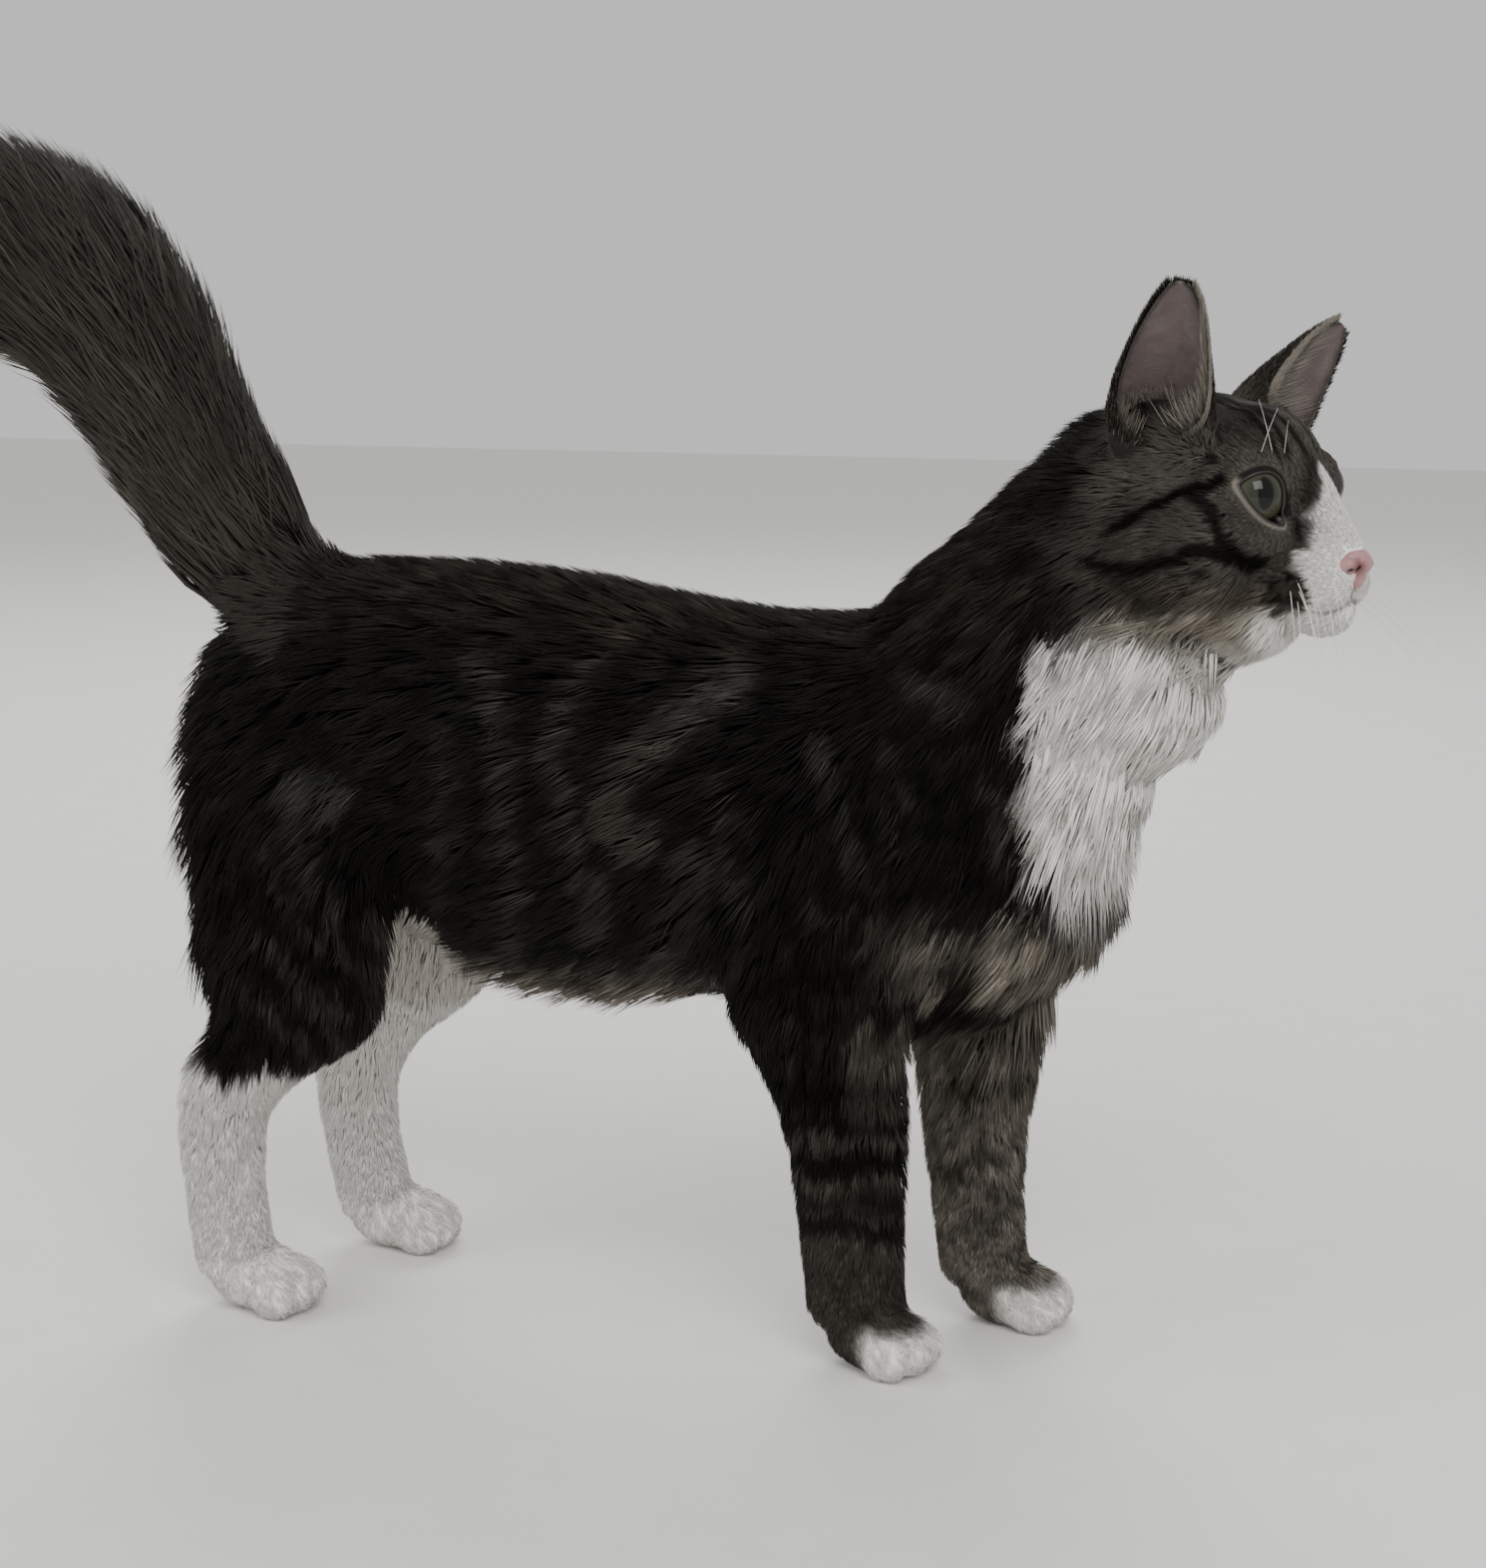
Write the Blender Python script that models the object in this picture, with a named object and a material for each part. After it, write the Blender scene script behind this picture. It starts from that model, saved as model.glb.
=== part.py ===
# A life-size standing cat of medium-long coat, as a still museum model.
# Blender 4.5, metres, +Z up. The cat faces +X and its left side is +Y. It stands on the floor at z = 0.
# Sizes are written in millimetres and measured in the cat's own frame, whose zero is on the floor below the
# middle of the back. MIDDLE moves them so that the origin is below the middle of the whole model.

import math
import random

import bmesh
import bpy
from mathutils import Matrix, Vector
from mathutils.bvhtree import BVHTree

MM = 0.001
MIDDLE = Vector((87.7, 0.0, 0.0))
GAP = 0.3
SEED = 7
RIGHT, LEFT = -1, 1

# Torso rings: x, top of the back, underside, half width
RUMP_X = -192.0
TORSO_RINGS = (
    (RUMP_X, 236, 184, 20),
    (-180, 253, 154, 35),
    (-150, 263, 138, 46),
    (-113, 265, 128, 52),
    (-66, 263, 116, 56),
    (-23, 257, 116, 56),
    (16, 252, 113, 54),
    (50, 253, 107, 51),
    (80, 246, 110, 45),
    (100, 226, 128, 37),
    (114, 200, 154, 22),
)
# Neck rings: centre x and z, half depth, half width
NECK_RINGS = (
    (66, 184, 58, 44),
    (80, 206, 55, 43),
    (96, 231, 52, 40),
    (113, 255, 45, 37),
    (127, 276, 41, 35),
    (138, 291, 32, 30),
)
# Leg rings from the top down: centre x and y (as on the left side), z, half depth, half width
NEAR_FORELEG = (
    (52, 28, 205, 34, 12),
    (46, 33, 172, 38, 17),
    (39, 34, 142, 36, 18),
    (37, 33, 118, 31, 18),
    (42, 30, 98, 25, 17),
    (45, 28, 76, 21.5, 16),
    (46, 27, 52, 19.5, 15),
    (47, 26, 30, 18, 14.5),
    (48, 26, 14, 17, 14.5),
)
FAR_FORELEG = (
    (66, 28, 205, 34, 12),
    (68, 33, 172, 36, 17),
    (72, 34, 142, 32, 18),
    (74, 33, 118, 29, 18),
    (76, 30, 98, 24, 17),
    (76, 28, 72, 20, 16),
    (77, 27, 50, 17.5, 14.5),
    (79, 26, 30, 16.5, 14),
    (81, 26, 14, 16, 14),
)
NEAR_HINDLEG = (
    (-150, 24, 228, 34, 14),
    (-152, 31, 198, 42, 22),
    (-153, 34, 162, 39, 24),
    (-154, 36, 128, 36, 22),
    (-153, 37, 104, 31, 19),
    (-171, 37, 87, 24, 16),
    (-181, 37, 69, 17, 13.5),
    (-180, 37, 44, 15, 13),
    (-178, 37, 24, 15, 13.5),
    (-176, 37, 12, 15, 13.5),
)
FAR_HINDLEG = (
    (-148, 24, 228, 34, 14),
    (-148, 31, 198, 44, 22),
    (-142, 34, 162, 43, 24),
    (-134, 36, 128, 36, 22),
    (-138, 37, 104, 29, 19),
    (-155, 37, 84, 21, 16),
    (-162, 37, 66, 16, 13.5),
    (-161, 37, 44, 15, 13),
    (-157, 37, 24, 15, 13.5),
    (-155, 37, 12, 15, 13.5),
)
# Round forms that fill the haunches and the chest: centre and radii
BODY_FORMS = (("haunch", (-148, 0, 214), (46, 42, 42)), ("chest", (84, 0, 168), (42, 36, 44)))
# Paws: ankle x and y, heading in degrees, length of the paw
FORE_ANKLE_Z, HIND_ANKLE_Z = 24.0, 27.0
PAD_HEIGHT, PAD_HALF_WIDTH, PAD_HALF_DEPTH = 10.5, 14.5, 12.0
TOE_RADII, TOE_HEIGHT, TOE_SPACING = (9.5, 5.2, 8.4), 7.8, 7.2
PAWS = (
    ("right_forepaw", NEAR_FORELEG, RIGHT, (50, -27), -20, 42, FORE_ANKLE_Z),
    ("left_forepaw", FAR_FORELEG, LEFT, (84, 26), -4, 42, FORE_ANKLE_Z),
    ("right_hindpaw", NEAR_HINDLEG, RIGHT, (-173, -37), -6, 44, HIND_ANKLE_Z),
    ("left_hindpaw", FAR_HINDLEG, LEFT, (-152, 37), 2, 44, HIND_ANKLE_Z),
)
# Tail rings: centre line x, y, z, radius of the core and radius of the coat
TAIL_RINGS = (
    (-142, 0, 226, 22, 22),
    (-168, 0, 250, 22, 24),
    (-189, 0, 276, 19, 28),
    (-209, 2, 305, 17, 31.5),
    (-230, 5, 336, 16, 38),
    (-261, 9, 360, 15, 41),
    (-297, 13, 374, 13, 38),
    (-328, 16, 379, 10, 34),
    (-352, 18, 378, 7, 26),
)
TAIL_STUB_RINGS = 7
BODY_VOXEL = 3.0
# Guides for the long coat of the breast, whose surface the tips reach: centre x and z, half depth, half width
BIB_RINGS = (
    (140, 244, 26, 30),
    (128, 216, 26, 34),
    (118, 190, 25, 34),
    (106, 165, 25, 32),
    (93, 142, 23, 28),
    (80, 124, 17, 22),
)
# Locks: how deep a root is sunk, thickness at the root, how little they twist, and the shape along the lock as
# share of length, width, thickness
LOCK_SINK = 3.5
LOCK_THICK = 4.0
LOCK_STIFFNESS = 3.0
LOCK_RINGS = ((0.0, 0.7, 1.0), (0.38, 1.0, 0.9), (0.76, 0.62, 0.6))
# Rows of locks on the body: name, how many, first and last root, first and last lie, length, width, rise
BODY_LOCKS = (
    ("belly_left", 4, (-22, 13, 116), (-98, 12, 128), (-0.96, 0.20, -0.20), 40, 22, 6),
    ("belly_middle", 4, (-12, 0, 114), (-92, 0, 122), (-0.96, 0.0, -0.28), 40, 22, 8),
    ("belly_right", 4, (-22, -13, 116), (-98, -12, 128), (-0.96, -0.20, -0.20), 40, 22, 6),
    ("rump_left", 2, (-190, 7, 216), (-188, 7, 178), (-0.25, 0.0, -0.97), 40, 15, 12),
    ("rump_right", 2, (-190, -7, 222), (-188, -7, 186), (-0.25, 0.0, -0.97), 40, 15, 12),
    ("right_thigh_rear", 4, (-192, -25, 214), (-190, -31, 128), (-0.20, 0.0, -0.97), 44, 25, 8),
    ("right_thigh_outer", 3, (-184, -41, 204), (-184, -45, 136), (-0.34, -0.02, -0.94), 44, 25, 5),
    ("right_thigh_inner", 2, (-192, -19, 176), (-186, -24, 130), (-0.20, 0.05, -0.97), 34, 15, 7),
    ("left_thigh_rear", 4, (-192, 25, 214), (-182, 31, 150), (-0.16, 0.0, -0.98), 44, 25, 8),
    ("left_thigh_outer", 3, (-182, 41, 204), (-176, 45, 152), (-0.26, 0.02, -0.96), 44, 25, 5),
    ("left_thigh_inner", 2, (-190, 19, 176), (-184, 24, 152), (-0.15, -0.05, -0.97), 34, 15, 7),
)
# Locks on the breast: rows down the guide, the half angle that they spread over, length, width
BIB_ROWS, BIB_ACROSS, BIB_SPREAD = 6, 5, 100.0
BIB_LOCK = (47, 29)
# Locks on the tail: rows along it, locks round it, length and width as shares of the coat's radius
TAIL_ROWS, TAIL_ROUND = 6, 6
TAIL_LOCK = (2.4, 1.0)
TAIL_DROOP = 0.25
TAIL_SHORTER = 0.04
# Pale hair in the ears: share of the height, place across, length, width; and its sink and thickness
EAR_LOCKS = ((0.22, 0.72, 24, 6.5), (0.32, 0.80, 24, 6.0), (0.44, 0.80, 20, 5.0))
EAR_LOCK_SINK, EAR_LOCK_THICK, EAR_LOCK_RISE = 0.7, 1.2, 4.0

# Head, in a frame of its own: x ahead, y left, z up, from the middle of the cranium
HEAD_CENTRE = Vector((158.0, -6.0, 287.0))
HEAD_YAW = -20.0
# Head forms: name, centre, radii, and whether it is on both sides
HEAD_FORMS = (
    ("cranium", (-6, 0, 7), (42, 34, 31), False),
    ("nape", (-33, 0, 1), (27, 30, 34), False),
    ("forehead", (11, 0, 14), (24, 25, 21), False),
    ("brow", (17, 13, 14), (15, 12, 10), True),
    ("cheek", (-2, 20, -12), (27, 21, 22), True),
    ("jaw", (12, 0, -18), (32, 22, 18), False),
    ("muzzle", (29, 0, -13), (20, 15.5, 15), False),
    ("whisker_pad", (37.5, 7, -19), (12, 10, 8.5), True),
    ("chin", (36, 0, -28), (11, 9, 8), False),
    ("cheek_bone", (19, 15, -4), (16, 13, 12), True),
    ("lid", (22, 19.5, 8), (12.2, 12.2, 12.2), True),
)
NOSE_BRIDGE = ((17, 0, 21, 12, 12), (30, 0, 8.5, 9.5, 10), (41, 0, -2.5, 7.5, 8), (45.5, 0, -9.5, 6.5, 6.5))
EYE_CENTRE = (22, 19.5, 8)
EYE_RADIUS = 10.5
EYE_TURN, EYE_TILT = 30.0, 24.0
LID_OUTER, LID_INNER, LID_HALF_HEIGHT = 9.4, 11.4, 7.8
NOSE_FORMS = (("pad", (46.8, 0, -12.4), (4.8, 6.4, 4.4)), ("stem", (46.6, 0, -17.2), (4.2, 3.2, 5.0)))
MOUTH_WAY = ((50, 0, -20), (49, 0, -24), (44, 7, -26.5), (37, 12, -27.5), (31, 15, -26.5), (26, 18, -24))
MOUTH_RADIUS = 0.9
NOSTRIL = ((51.0, 4.4, -13.4), (3.0, 1.5, 1.0))
# Ears: root and tip of the axis on the head, the way the cup opens
EARS = (
    ("right_ear", (-8, -26, 13), (9, -43, 74), (0.55, -0.84, 0.0)),
    ("left_ear", (-8, 26, 13), (14, 57, 57), (0.95, 0.10, 0.25)),
)
# Ear sections up the axis: share of the height, half width, half depth, how far the hollow is moved out
EAR_SECTIONS = (
    (0.00, 17.0, 8.0, 7.0),
    (0.12, 19.0, 9.5, 10.0),
    (0.28, 19.2, 10.5, 12.0),
    (0.45, 17.4, 10.0, 12.0),
    (0.62, 14.2, 8.0, 11.0),
    (0.78, 9.8, 5.8, 9.0),
    (0.90, 5.8, 4.0, 6.0),
    (0.97, 2.8, 2.2, 3.0),
)
EAR_WALL = 1.5

# Cuts between the parts: a point and the way out of the body
HEAD_CUT = ((128.0, 0.0, 272.0), (0.66, -0.15, 0.74))
NECK_CUT = ((72.0, 0.0, 206.0), (0.96, 0.0, 0.28))
TAIL_CUT = ((-167.0, 0.0, 249.0), (-0.66, 0.0, 0.75))
# Arches that hold the legs: side, rear and front edge, spring of the arch, its top, inner face, lowest body
LEG_ARCHES = (
    ("right_foreleg", RIGHT, -6, 78, 150, 204, 17, 104),
    ("left_foreleg", LEFT, 28, 106, 150, 200, 17, 108),
    ("right_hindleg", RIGHT, -250, -104, 158, 226, 15, 112),
    ("left_hindleg", LEFT, -250, -92, 158, 226, 15, 112),
)


def place(x, y, z):
    """A point of the cat's own frame, in metres about the model's origin."""
    return (Vector((x, y, z)) + MIDDLE) * MM


def clear_scene():
    for item in list(bpy.data.objects):
        bpy.data.objects.remove(item)


def coat_material(name, colour, roughness=0.85):
    made = bpy.data.materials.new(name)
    made.use_nodes = True
    shader = made.node_tree.nodes["Principled BSDF"]
    shader.inputs["Base Color"].default_value = (*colour, 1.0)
    shader.inputs["Roughness"].default_value = roughness
    shader.inputs["Metallic"].default_value = 0.0
    made.diffuse_color = (*colour, 1.0)
    return made


def linked(name, data):
    made = bpy.data.objects.new(name, data)
    bpy.context.scene.collection.objects.link(made)
    return made


def mesh_object(name, points, faces):
    data = bpy.data.meshes.new(name)
    data.from_pydata([tuple(p) for p in points], [], faces)
    made = linked(name, data)
    face_out(made)
    return made


def face_out(item):
    """Turns the faces of a closed mesh outwards."""
    work = bmesh.new()
    work.from_mesh(item.data)
    bmesh.ops.recalc_face_normals(work, faces=work.faces)
    if work.calc_volume(signed=True) < 0:
        bmesh.ops.reverse_faces(work, faces=work.faces)
    work.to_mesh(item.data)
    work.free()


def applied(item):
    """The item with its modifiers worked into its mesh."""
    graph = bpy.context.evaluated_depsgraph_get()
    data = bpy.data.meshes.new_from_object(item.evaluated_get(graph))
    item.modifiers.clear()
    item.data = data
    return item


def spline(rows, steps):
    """A smooth run through rows of numbers, with steps parts between two of them."""
    out = []
    last = len(rows) - 1
    for i in range(last):
        a, b = rows[max(i - 1, 0)], rows[i]
        c, d = rows[i + 1], rows[min(i + 2, last)]
        for k in range(steps):
            t = k / steps
            bend, swing = t * t, t ** 3
            out.append([
                q + 0.5 * ((r - p) * t + (2 * p - 5 * q + 4 * r - s) * bend + (3 * q - p - 3 * r + s) * swing)
                for p, q, r, s in zip(a, b, c, d)
            ])
    out.append(list(rows[last]))
    return out


def loft(name, rings, sides=24):
    """A closed tube through rings of (centre, first half axis, second half axis)."""
    points, faces = [], []
    for centre, first, second in rings:
        for k in range(sides):
            turn = 2 * math.pi * k / sides
            points.append(centre + first * math.cos(turn) + second * math.sin(turn))
    for r in range(len(rings) - 1):
        for k in range(sides):
            n = (k + 1) % sides
            faces.append((r * sides + k, r * sides + n, (r + 1) * sides + n, (r + 1) * sides + k))
    faces.append(tuple(range(sides))[::-1])
    faces.append(tuple(range((len(rings) - 1) * sides, len(rings) * sides)))
    return mesh_object(name, points, faces)


def rounded(rings):
    """Adds shrinking rings past both ends, so that a loft closes in a dome."""
    ahead = (rings[0][0] - rings[1][0]).normalized() * rings[0][1].length
    behind = (rings[-1][0] - rings[-2][0]).normalized() * rings[-1][1].length
    before, after = [], []
    for share in (0.9, 0.7, 0.4):
        reach = math.sqrt(1 - share * share)
        before.insert(0, (rings[0][0] + ahead * reach, rings[0][1] * share, rings[0][2] * share))
        after.append((rings[-1][0] + behind * reach, rings[-1][1] * share, rings[-1][2] * share))
    return before + list(rings) + after


def ball(name, centre, radii, turn=None, segments=24, rings=14):
    """An ellipsoid at a point of the cat's own frame."""
    work = bmesh.new()
    bmesh.ops.create_uvsphere(work, u_segments=segments, v_segments=rings, radius=1.0)
    shape = Matrix.Diagonal((radii[0] * MM, radii[1] * MM, radii[2] * MM, 1.0))
    frame = turn.to_4x4() if turn else Matrix.Identity(4)
    bmesh.ops.transform(work, matrix=Matrix.Translation(place(*centre)) @ frame @ shape, verts=work.verts)
    data = bpy.data.meshes.new(name)
    work.to_mesh(data)
    work.free()
    return linked(name, data)


def joined(name, items):
    work = bmesh.new()
    for item in items:
        work.from_mesh(item.data)
        bpy.data.objects.remove(item)
    data = bpy.data.meshes.new(name)
    work.to_mesh(data)
    work.free()
    return linked(name, data)


def melted(name, items, voxel, smooth_steps, triangles):
    """One smooth closed skin round overlapping forms, thinned to a number of triangles."""
    made = joined(name, items)
    remesh = made.modifiers.new("remesh", "REMESH")
    remesh.mode = "VOXEL"
    remesh.voxel_size = voxel * MM
    smooth = made.modifiers.new("smooth", "SMOOTH")
    smooth.factor = 0.5
    smooth.iterations = smooth_steps
    made.modifiers.new("triangulate", "TRIANGULATE")
    applied(made)
    thin = made.modifiers.new("thin", "DECIMATE")
    thin.ratio = min(1.0, triangles / len(made.data.polygons))
    applied(made)
    face_out(made)
    return largest(made)


def largest(item):
    """Keeps only the largest closed surface of a mesh."""
    work = bmesh.new()
    work.from_mesh(item.data)
    seen, best = set(), []
    for face in work.faces:
        if face in seen:
            continue
        island, front = [], [face]
        seen.add(face)
        while front:
            here = front.pop()
            island.append(here)
            for edge in here.edges:
                for near in edge.link_faces:
                    if near not in seen:
                        seen.add(near)
                        front.append(near)
        if len(island) > len(best):
            best = island
    keep = set(best)
    bmesh.ops.delete(work, geom=[f for f in work.faces if f not in keep], context="FACES")
    bmesh.ops.delete(work, geom=[v for v in work.verts if not v.link_faces], context="VERTS")
    work.to_mesh(item.data)
    work.free()
    return item


def boolean(item, other, how):
    """Works a union, cut or overlap with another closed mesh into the item, and removes the other."""
    step = item.modifiers.new("boolean", "BOOLEAN")
    step.operation = how
    step.solver = "MANIFOLD"
    step.object = other
    applied(item)
    bpy.data.objects.remove(other)
    return item


def fused(item, pieces):
    """Joins a list of closed pieces to the item by one Boolean union."""
    group = bpy.data.collections.new("pieces")
    bpy.context.scene.collection.children.link(group)
    for piece in pieces:
        bpy.context.scene.collection.objects.unlink(piece)
        group.objects.link(piece)
    step = item.modifiers.new("union", "BOOLEAN")
    step.operation = "UNION"
    step.operand_type = "COLLECTION"
    step.solver = "MANIFOLD"
    step.collection = group
    applied(item)
    for piece in pieces:
        bpy.data.objects.remove(piece)
    bpy.data.collections.remove(group)
    return largest(item)


def slab(point, normal, reach=400.0):
    """A block with one face through the point, filling the side that the normal points to."""
    normal = Vector(normal).normalized()
    across = (Vector((1, 0, 0)) if abs(normal.y) > 0.8 else Vector((0, 1, 0))).cross(normal).normalized()
    along = normal.cross(across)
    points = []
    for deep in (0.0, reach):
        for a, b in ((-1, -1), (1, -1), (1, 1), (-1, 1)):
            points.append(place(*point) + (normal * deep + (across * a + along * b) * reach) * MM)
    faces = [(0, 3, 2, 1), (4, 5, 6, 7), (0, 1, 5, 4), (1, 2, 6, 5), (2, 3, 7, 6), (3, 0, 4, 7)]
    return mesh_object("slab", points, faces)


def copy_of(item, name):
    return linked(name, item.data.copy())


def parted(item, name, point, normal):
    """Cuts off what lies beyond a plane, as an object of its own, with the gap between the two."""
    point, half = Vector(point), Vector(normal).normalized() * GAP / 2
    piece = boolean(copy_of(item, name), slab(point + half, normal), "INTERSECT")
    boolean(item, slab(point - half, normal), "DIFFERENCE")
    largest(item)
    return largest(piece)


def arch(side, rear, front, spring, top, inner, lowest, spare):
    """A block with a round top that holds one leg, grown by a spare all round."""
    middle, half = (rear + front) / 2, (front - rear) / 2 + spare
    profile = [(middle - half, -20), (middle - half, spring)]
    for k in range(1, 16):
        turn = math.pi * (1 - k / 16)
        profile.append((middle + half * math.cos(turn), spring + (top - spring + spare) * math.sin(turn)))
    profile += [(middle + half, spring), (middle + half, -20)]
    count = len(profile)
    points = [place(x, side * y, z) for y in (inner - spare, 95) for x, z in profile]
    faces = [(k, (k + 1) % count, count + (k + 1) % count, count + k) for k in range(count)]
    faces += [tuple(range(count)), tuple(range(count, 2 * count))]
    upper = mesh_object("arch", points, faces)
    shoulder = lowest + spare
    low = [(middle - half, -20), (middle + half, -20), (middle + half, shoulder), (middle - half, shoulder)]
    points = [place(x, side * y, z) for y in (1.0, 90) for x, z in low]
    faces = [(0, 1, 5, 4), (1, 2, 6, 5), (2, 3, 7, 6), (3, 0, 4, 7), (0, 1, 2, 3), (4, 5, 6, 7)]
    return boolean(upper, mesh_object("arch_foot", points, faces), "UNION")


def arched(item, name, *shape):
    """Cuts a leg out of the body along its arch, with the gap between the two."""
    piece = boolean(copy_of(item, name), arch(*shape, 0.0), "INTERSECT")
    boolean(item, arch(*shape, GAP), "DIFFERENCE")
    largest(item)
    return largest(piece)


def torso():
    rings = [
        (place(x, 0, (top + low) / 2), Vector((0, width * MM, 0)), Vector((0, 0, (top - low) / 2 * MM)))
        for x, top, low, width in spline(TORSO_RINGS, 4)
    ]
    return loft("torso_form", rings, 32)


def neck():
    rows = spline(NECK_RINGS, 3)
    rings = []
    for i, (x, z, deep, wide) in enumerate(rows):
        before, after = rows[max(i - 1, 0)], rows[min(i + 1, len(rows) - 1)]
        along = Vector((after[0] - before[0], 0, after[1] - before[1])).normalized()
        across = Vector((-along.z, 0, along.x))
        sway = HEAD_CENTRE.y * max(0.0, (z - NECK_RINGS[0][1]) / (HEAD_CENTRE.z - NECK_RINGS[0][1]))
        rings.append((place(x, sway, z), Vector((0, wide * MM, 0)), across * deep * MM))
    return loft("neck_form", rings, 28)


def leg(rows, side, highest=1000.0):
    rings = [
        (place(x, side * y, z), Vector((0, wide * MM, 0)), Vector((deep * MM, 0, 0)))
        for x, y, z, deep, wide in spline(rows, 4) if z <= highest
    ]
    return loft("leg_form", rings, 20)


def tail_rings(steps):
    """Rings round the tail's core."""
    rows = spline(TAIL_RINGS, steps)
    rings = []
    for i, (x, y, z, core, _) in enumerate(rows):
        before, after = rows[max(i - 1, 0)], rows[min(i + 1, len(rows) - 1)]
        along = (Vector(after[:3]) - Vector(before[:3])).normalized()
        across = Vector((0, 1, 0)).cross(along).normalized()
        rings.append((place(x, y, z), along.cross(across) * core * MM, across * core * MM))
    return rings


def head_frame():
    return Matrix.Rotation(math.radians(HEAD_YAW), 3, "Z")


def on_head(x, y, z):
    """A point of the head's own frame as a point of the cat's own frame."""
    return HEAD_CENTRE + head_frame() @ Vector((x, y, z))


def both_sides(centre, both=True):
    x, y, z = centre
    return [(x, side * y, z) for side in ((RIGHT, LEFT) if both else (LEFT,))]


def eye_frame(side):
    """The frame of one eye: x out of the lids, y across them, z up."""
    out = Matrix.Rotation(math.radians(HEAD_YAW + side * EYE_TURN), 3, "Z")
    return out @ Matrix.Rotation(math.radians(side * EYE_TILT), 3, "X")


def lid_opening(side):
    """An almond-shaped block that opens the lids in front of one eye."""
    frame, centre = eye_frame(side), Vector(on_head(EYE_CENTRE[0], side * EYE_CENTRE[1], EYE_CENTRE[2]))
    points, count = [], 16
    for deep in (2.0, 30.0):
        for k in range(count):
            turn = 2 * math.pi * k / count
            reach = LID_INNER if math.cos(turn) * side < 0 else LID_OUTER
            wide = reach * math.cos(turn)
            high = LID_HALF_HEIGHT * math.sin(turn) * (1 - 0.3 * math.cos(turn) ** 2)
            points.append(place(*(centre + frame @ Vector((deep, wide, high)))))
    faces = [(k, (k + 1) % count, count + (k + 1) % count, count + k) for k in range(count)]
    faces += [tuple(range(count)), tuple(range(count, 2 * count))]
    return mesh_object("lid_opening", points, faces)


def mouth_line(tree):
    """A thin groove along the lips: down from the nose, then back to the corner of the mouth on each side."""
    tubes = []
    for side in (RIGHT, LEFT):
        centres = []
        for x, y, z in spline(MOUTH_WAY, 2):
            near = tree.find_nearest(place(*on_head(x, side * y, z)))
            centres.append(near[0])
        rings = []
        for i, centre in enumerate(centres):
            along = (centres[min(i + 1, len(centres) - 1)] - centres[max(i - 1, 0)]).normalized()
            first = along.orthogonal().normalized()
            rings.append((centre, first * MOUTH_RADIUS * MM, along.cross(first) * MOUTH_RADIUS * MM))
        tubes.append(loft("mouth_line", rings, 4))
    return tubes


def head_form(voxel=1.6, smooth_steps=9, triangles=2000):
    frame = head_frame()
    forms = []
    for name, centre, radii, both in HEAD_FORMS:
        for x, y, z in both_sides(centre, both):
            forms.append(ball(name, on_head(x, y, z), radii, frame))
    across, upright = frame @ Vector((0, MM, 0)), frame @ Vector((0.7 * MM, 0, 0.7 * MM))
    rings = [
        (place(*on_head(x, y, z)), across * wide, upright * high)
        for x, y, z, wide, high in spline(NOSE_BRIDGE, 3)
    ]
    forms.append(loft("bridge", rounded(rings), 16))
    forms.append(neck())
    made = melted("head", forms, voxel, smooth_steps, triangles)
    for side in (RIGHT, LEFT):
        boolean(made, lid_opening(side), "DIFFERENCE")
        centre = on_head(EYE_CENTRE[0], side * EYE_CENTRE[1], EYE_CENTRE[2])
        socket = ball("socket", centre, (EYE_RADIUS + 2 * GAP,) * 3, eye_frame(side), 14, 9)
        boolean(made, socket, "DIFFERENCE")
    for name, centre, radii in NOSE_FORMS:
        room = ball(name, on_head(*centre), [r + 2 * GAP for r in radii], frame, 16, 10)
        boolean(made, room, "DIFFERENCE")
    for name, *shape in EARS:
        boolean(made, EarAxis(*shape).cone(grow=GAP), "DIFFERENCE")
    return largest(made)


def eyes():
    made = []
    for name, side in (("right_eye", RIGHT), ("left_eye", LEFT)):
        centre = on_head(EYE_CENTRE[0], side * EYE_CENTRE[1], EYE_CENTRE[2])
        made.append(ball(name, centre, (EYE_RADIUS,) * 3, eye_frame(side), 14, 9))
    return made


def nose():
    """The nose leather, a wide pad over a narrow stem, with two nostrils."""
    frame = head_frame()
    forms = [ball(name, on_head(*centre), radii, frame) for name, centre, radii in NOSE_FORMS]
    made = melted("nose", forms, 0.7, 3, 200)
    centre, radii = NOSTRIL
    for point in both_sides(centre):
        boolean(made, ball("nostril", on_head(*point), radii, frame, 8, 6), "DIFFERENCE")
    return largest(made)


class EarAxis:
    """The line of an ear from root to tip, with the way it opens and the way across."""

    def __init__(self, foot, tip, facing):
        self.foot = on_head(*foot)
        self.up = on_head(*tip) - self.foot
        out = head_frame() @ Vector(facing)
        self.out = (out - self.up * out.dot(self.up) / self.up.length_squared).normalized()
        self.across = self.up.normalized().cross(self.out)

    def spot(self, share, aside=0.0, outward=0.0):
        return place(*(self.foot + self.up * share + self.across * aside + self.out * outward))

    def cone(self, grow=0.0, hollow=False):
        """The outer shape of the ear grown by a spare, or its hollow, which is moved towards the opening."""
        rings = []
        for share, wide, deep, shift in EAR_SECTIONS:
            if hollow and not 0.04 < share < 0.96:
                continue
            moved, wall = (shift, EAR_WALL) if hollow else (0.0, -grow)
            width, depth = wide - wall + 0.12 * moved, deep - wall + moved
            rings.append((self.spot(share, outward=moved), self.across * width * MM, self.out * depth * MM))
        return loft("ear_cone", rings, 16)


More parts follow.
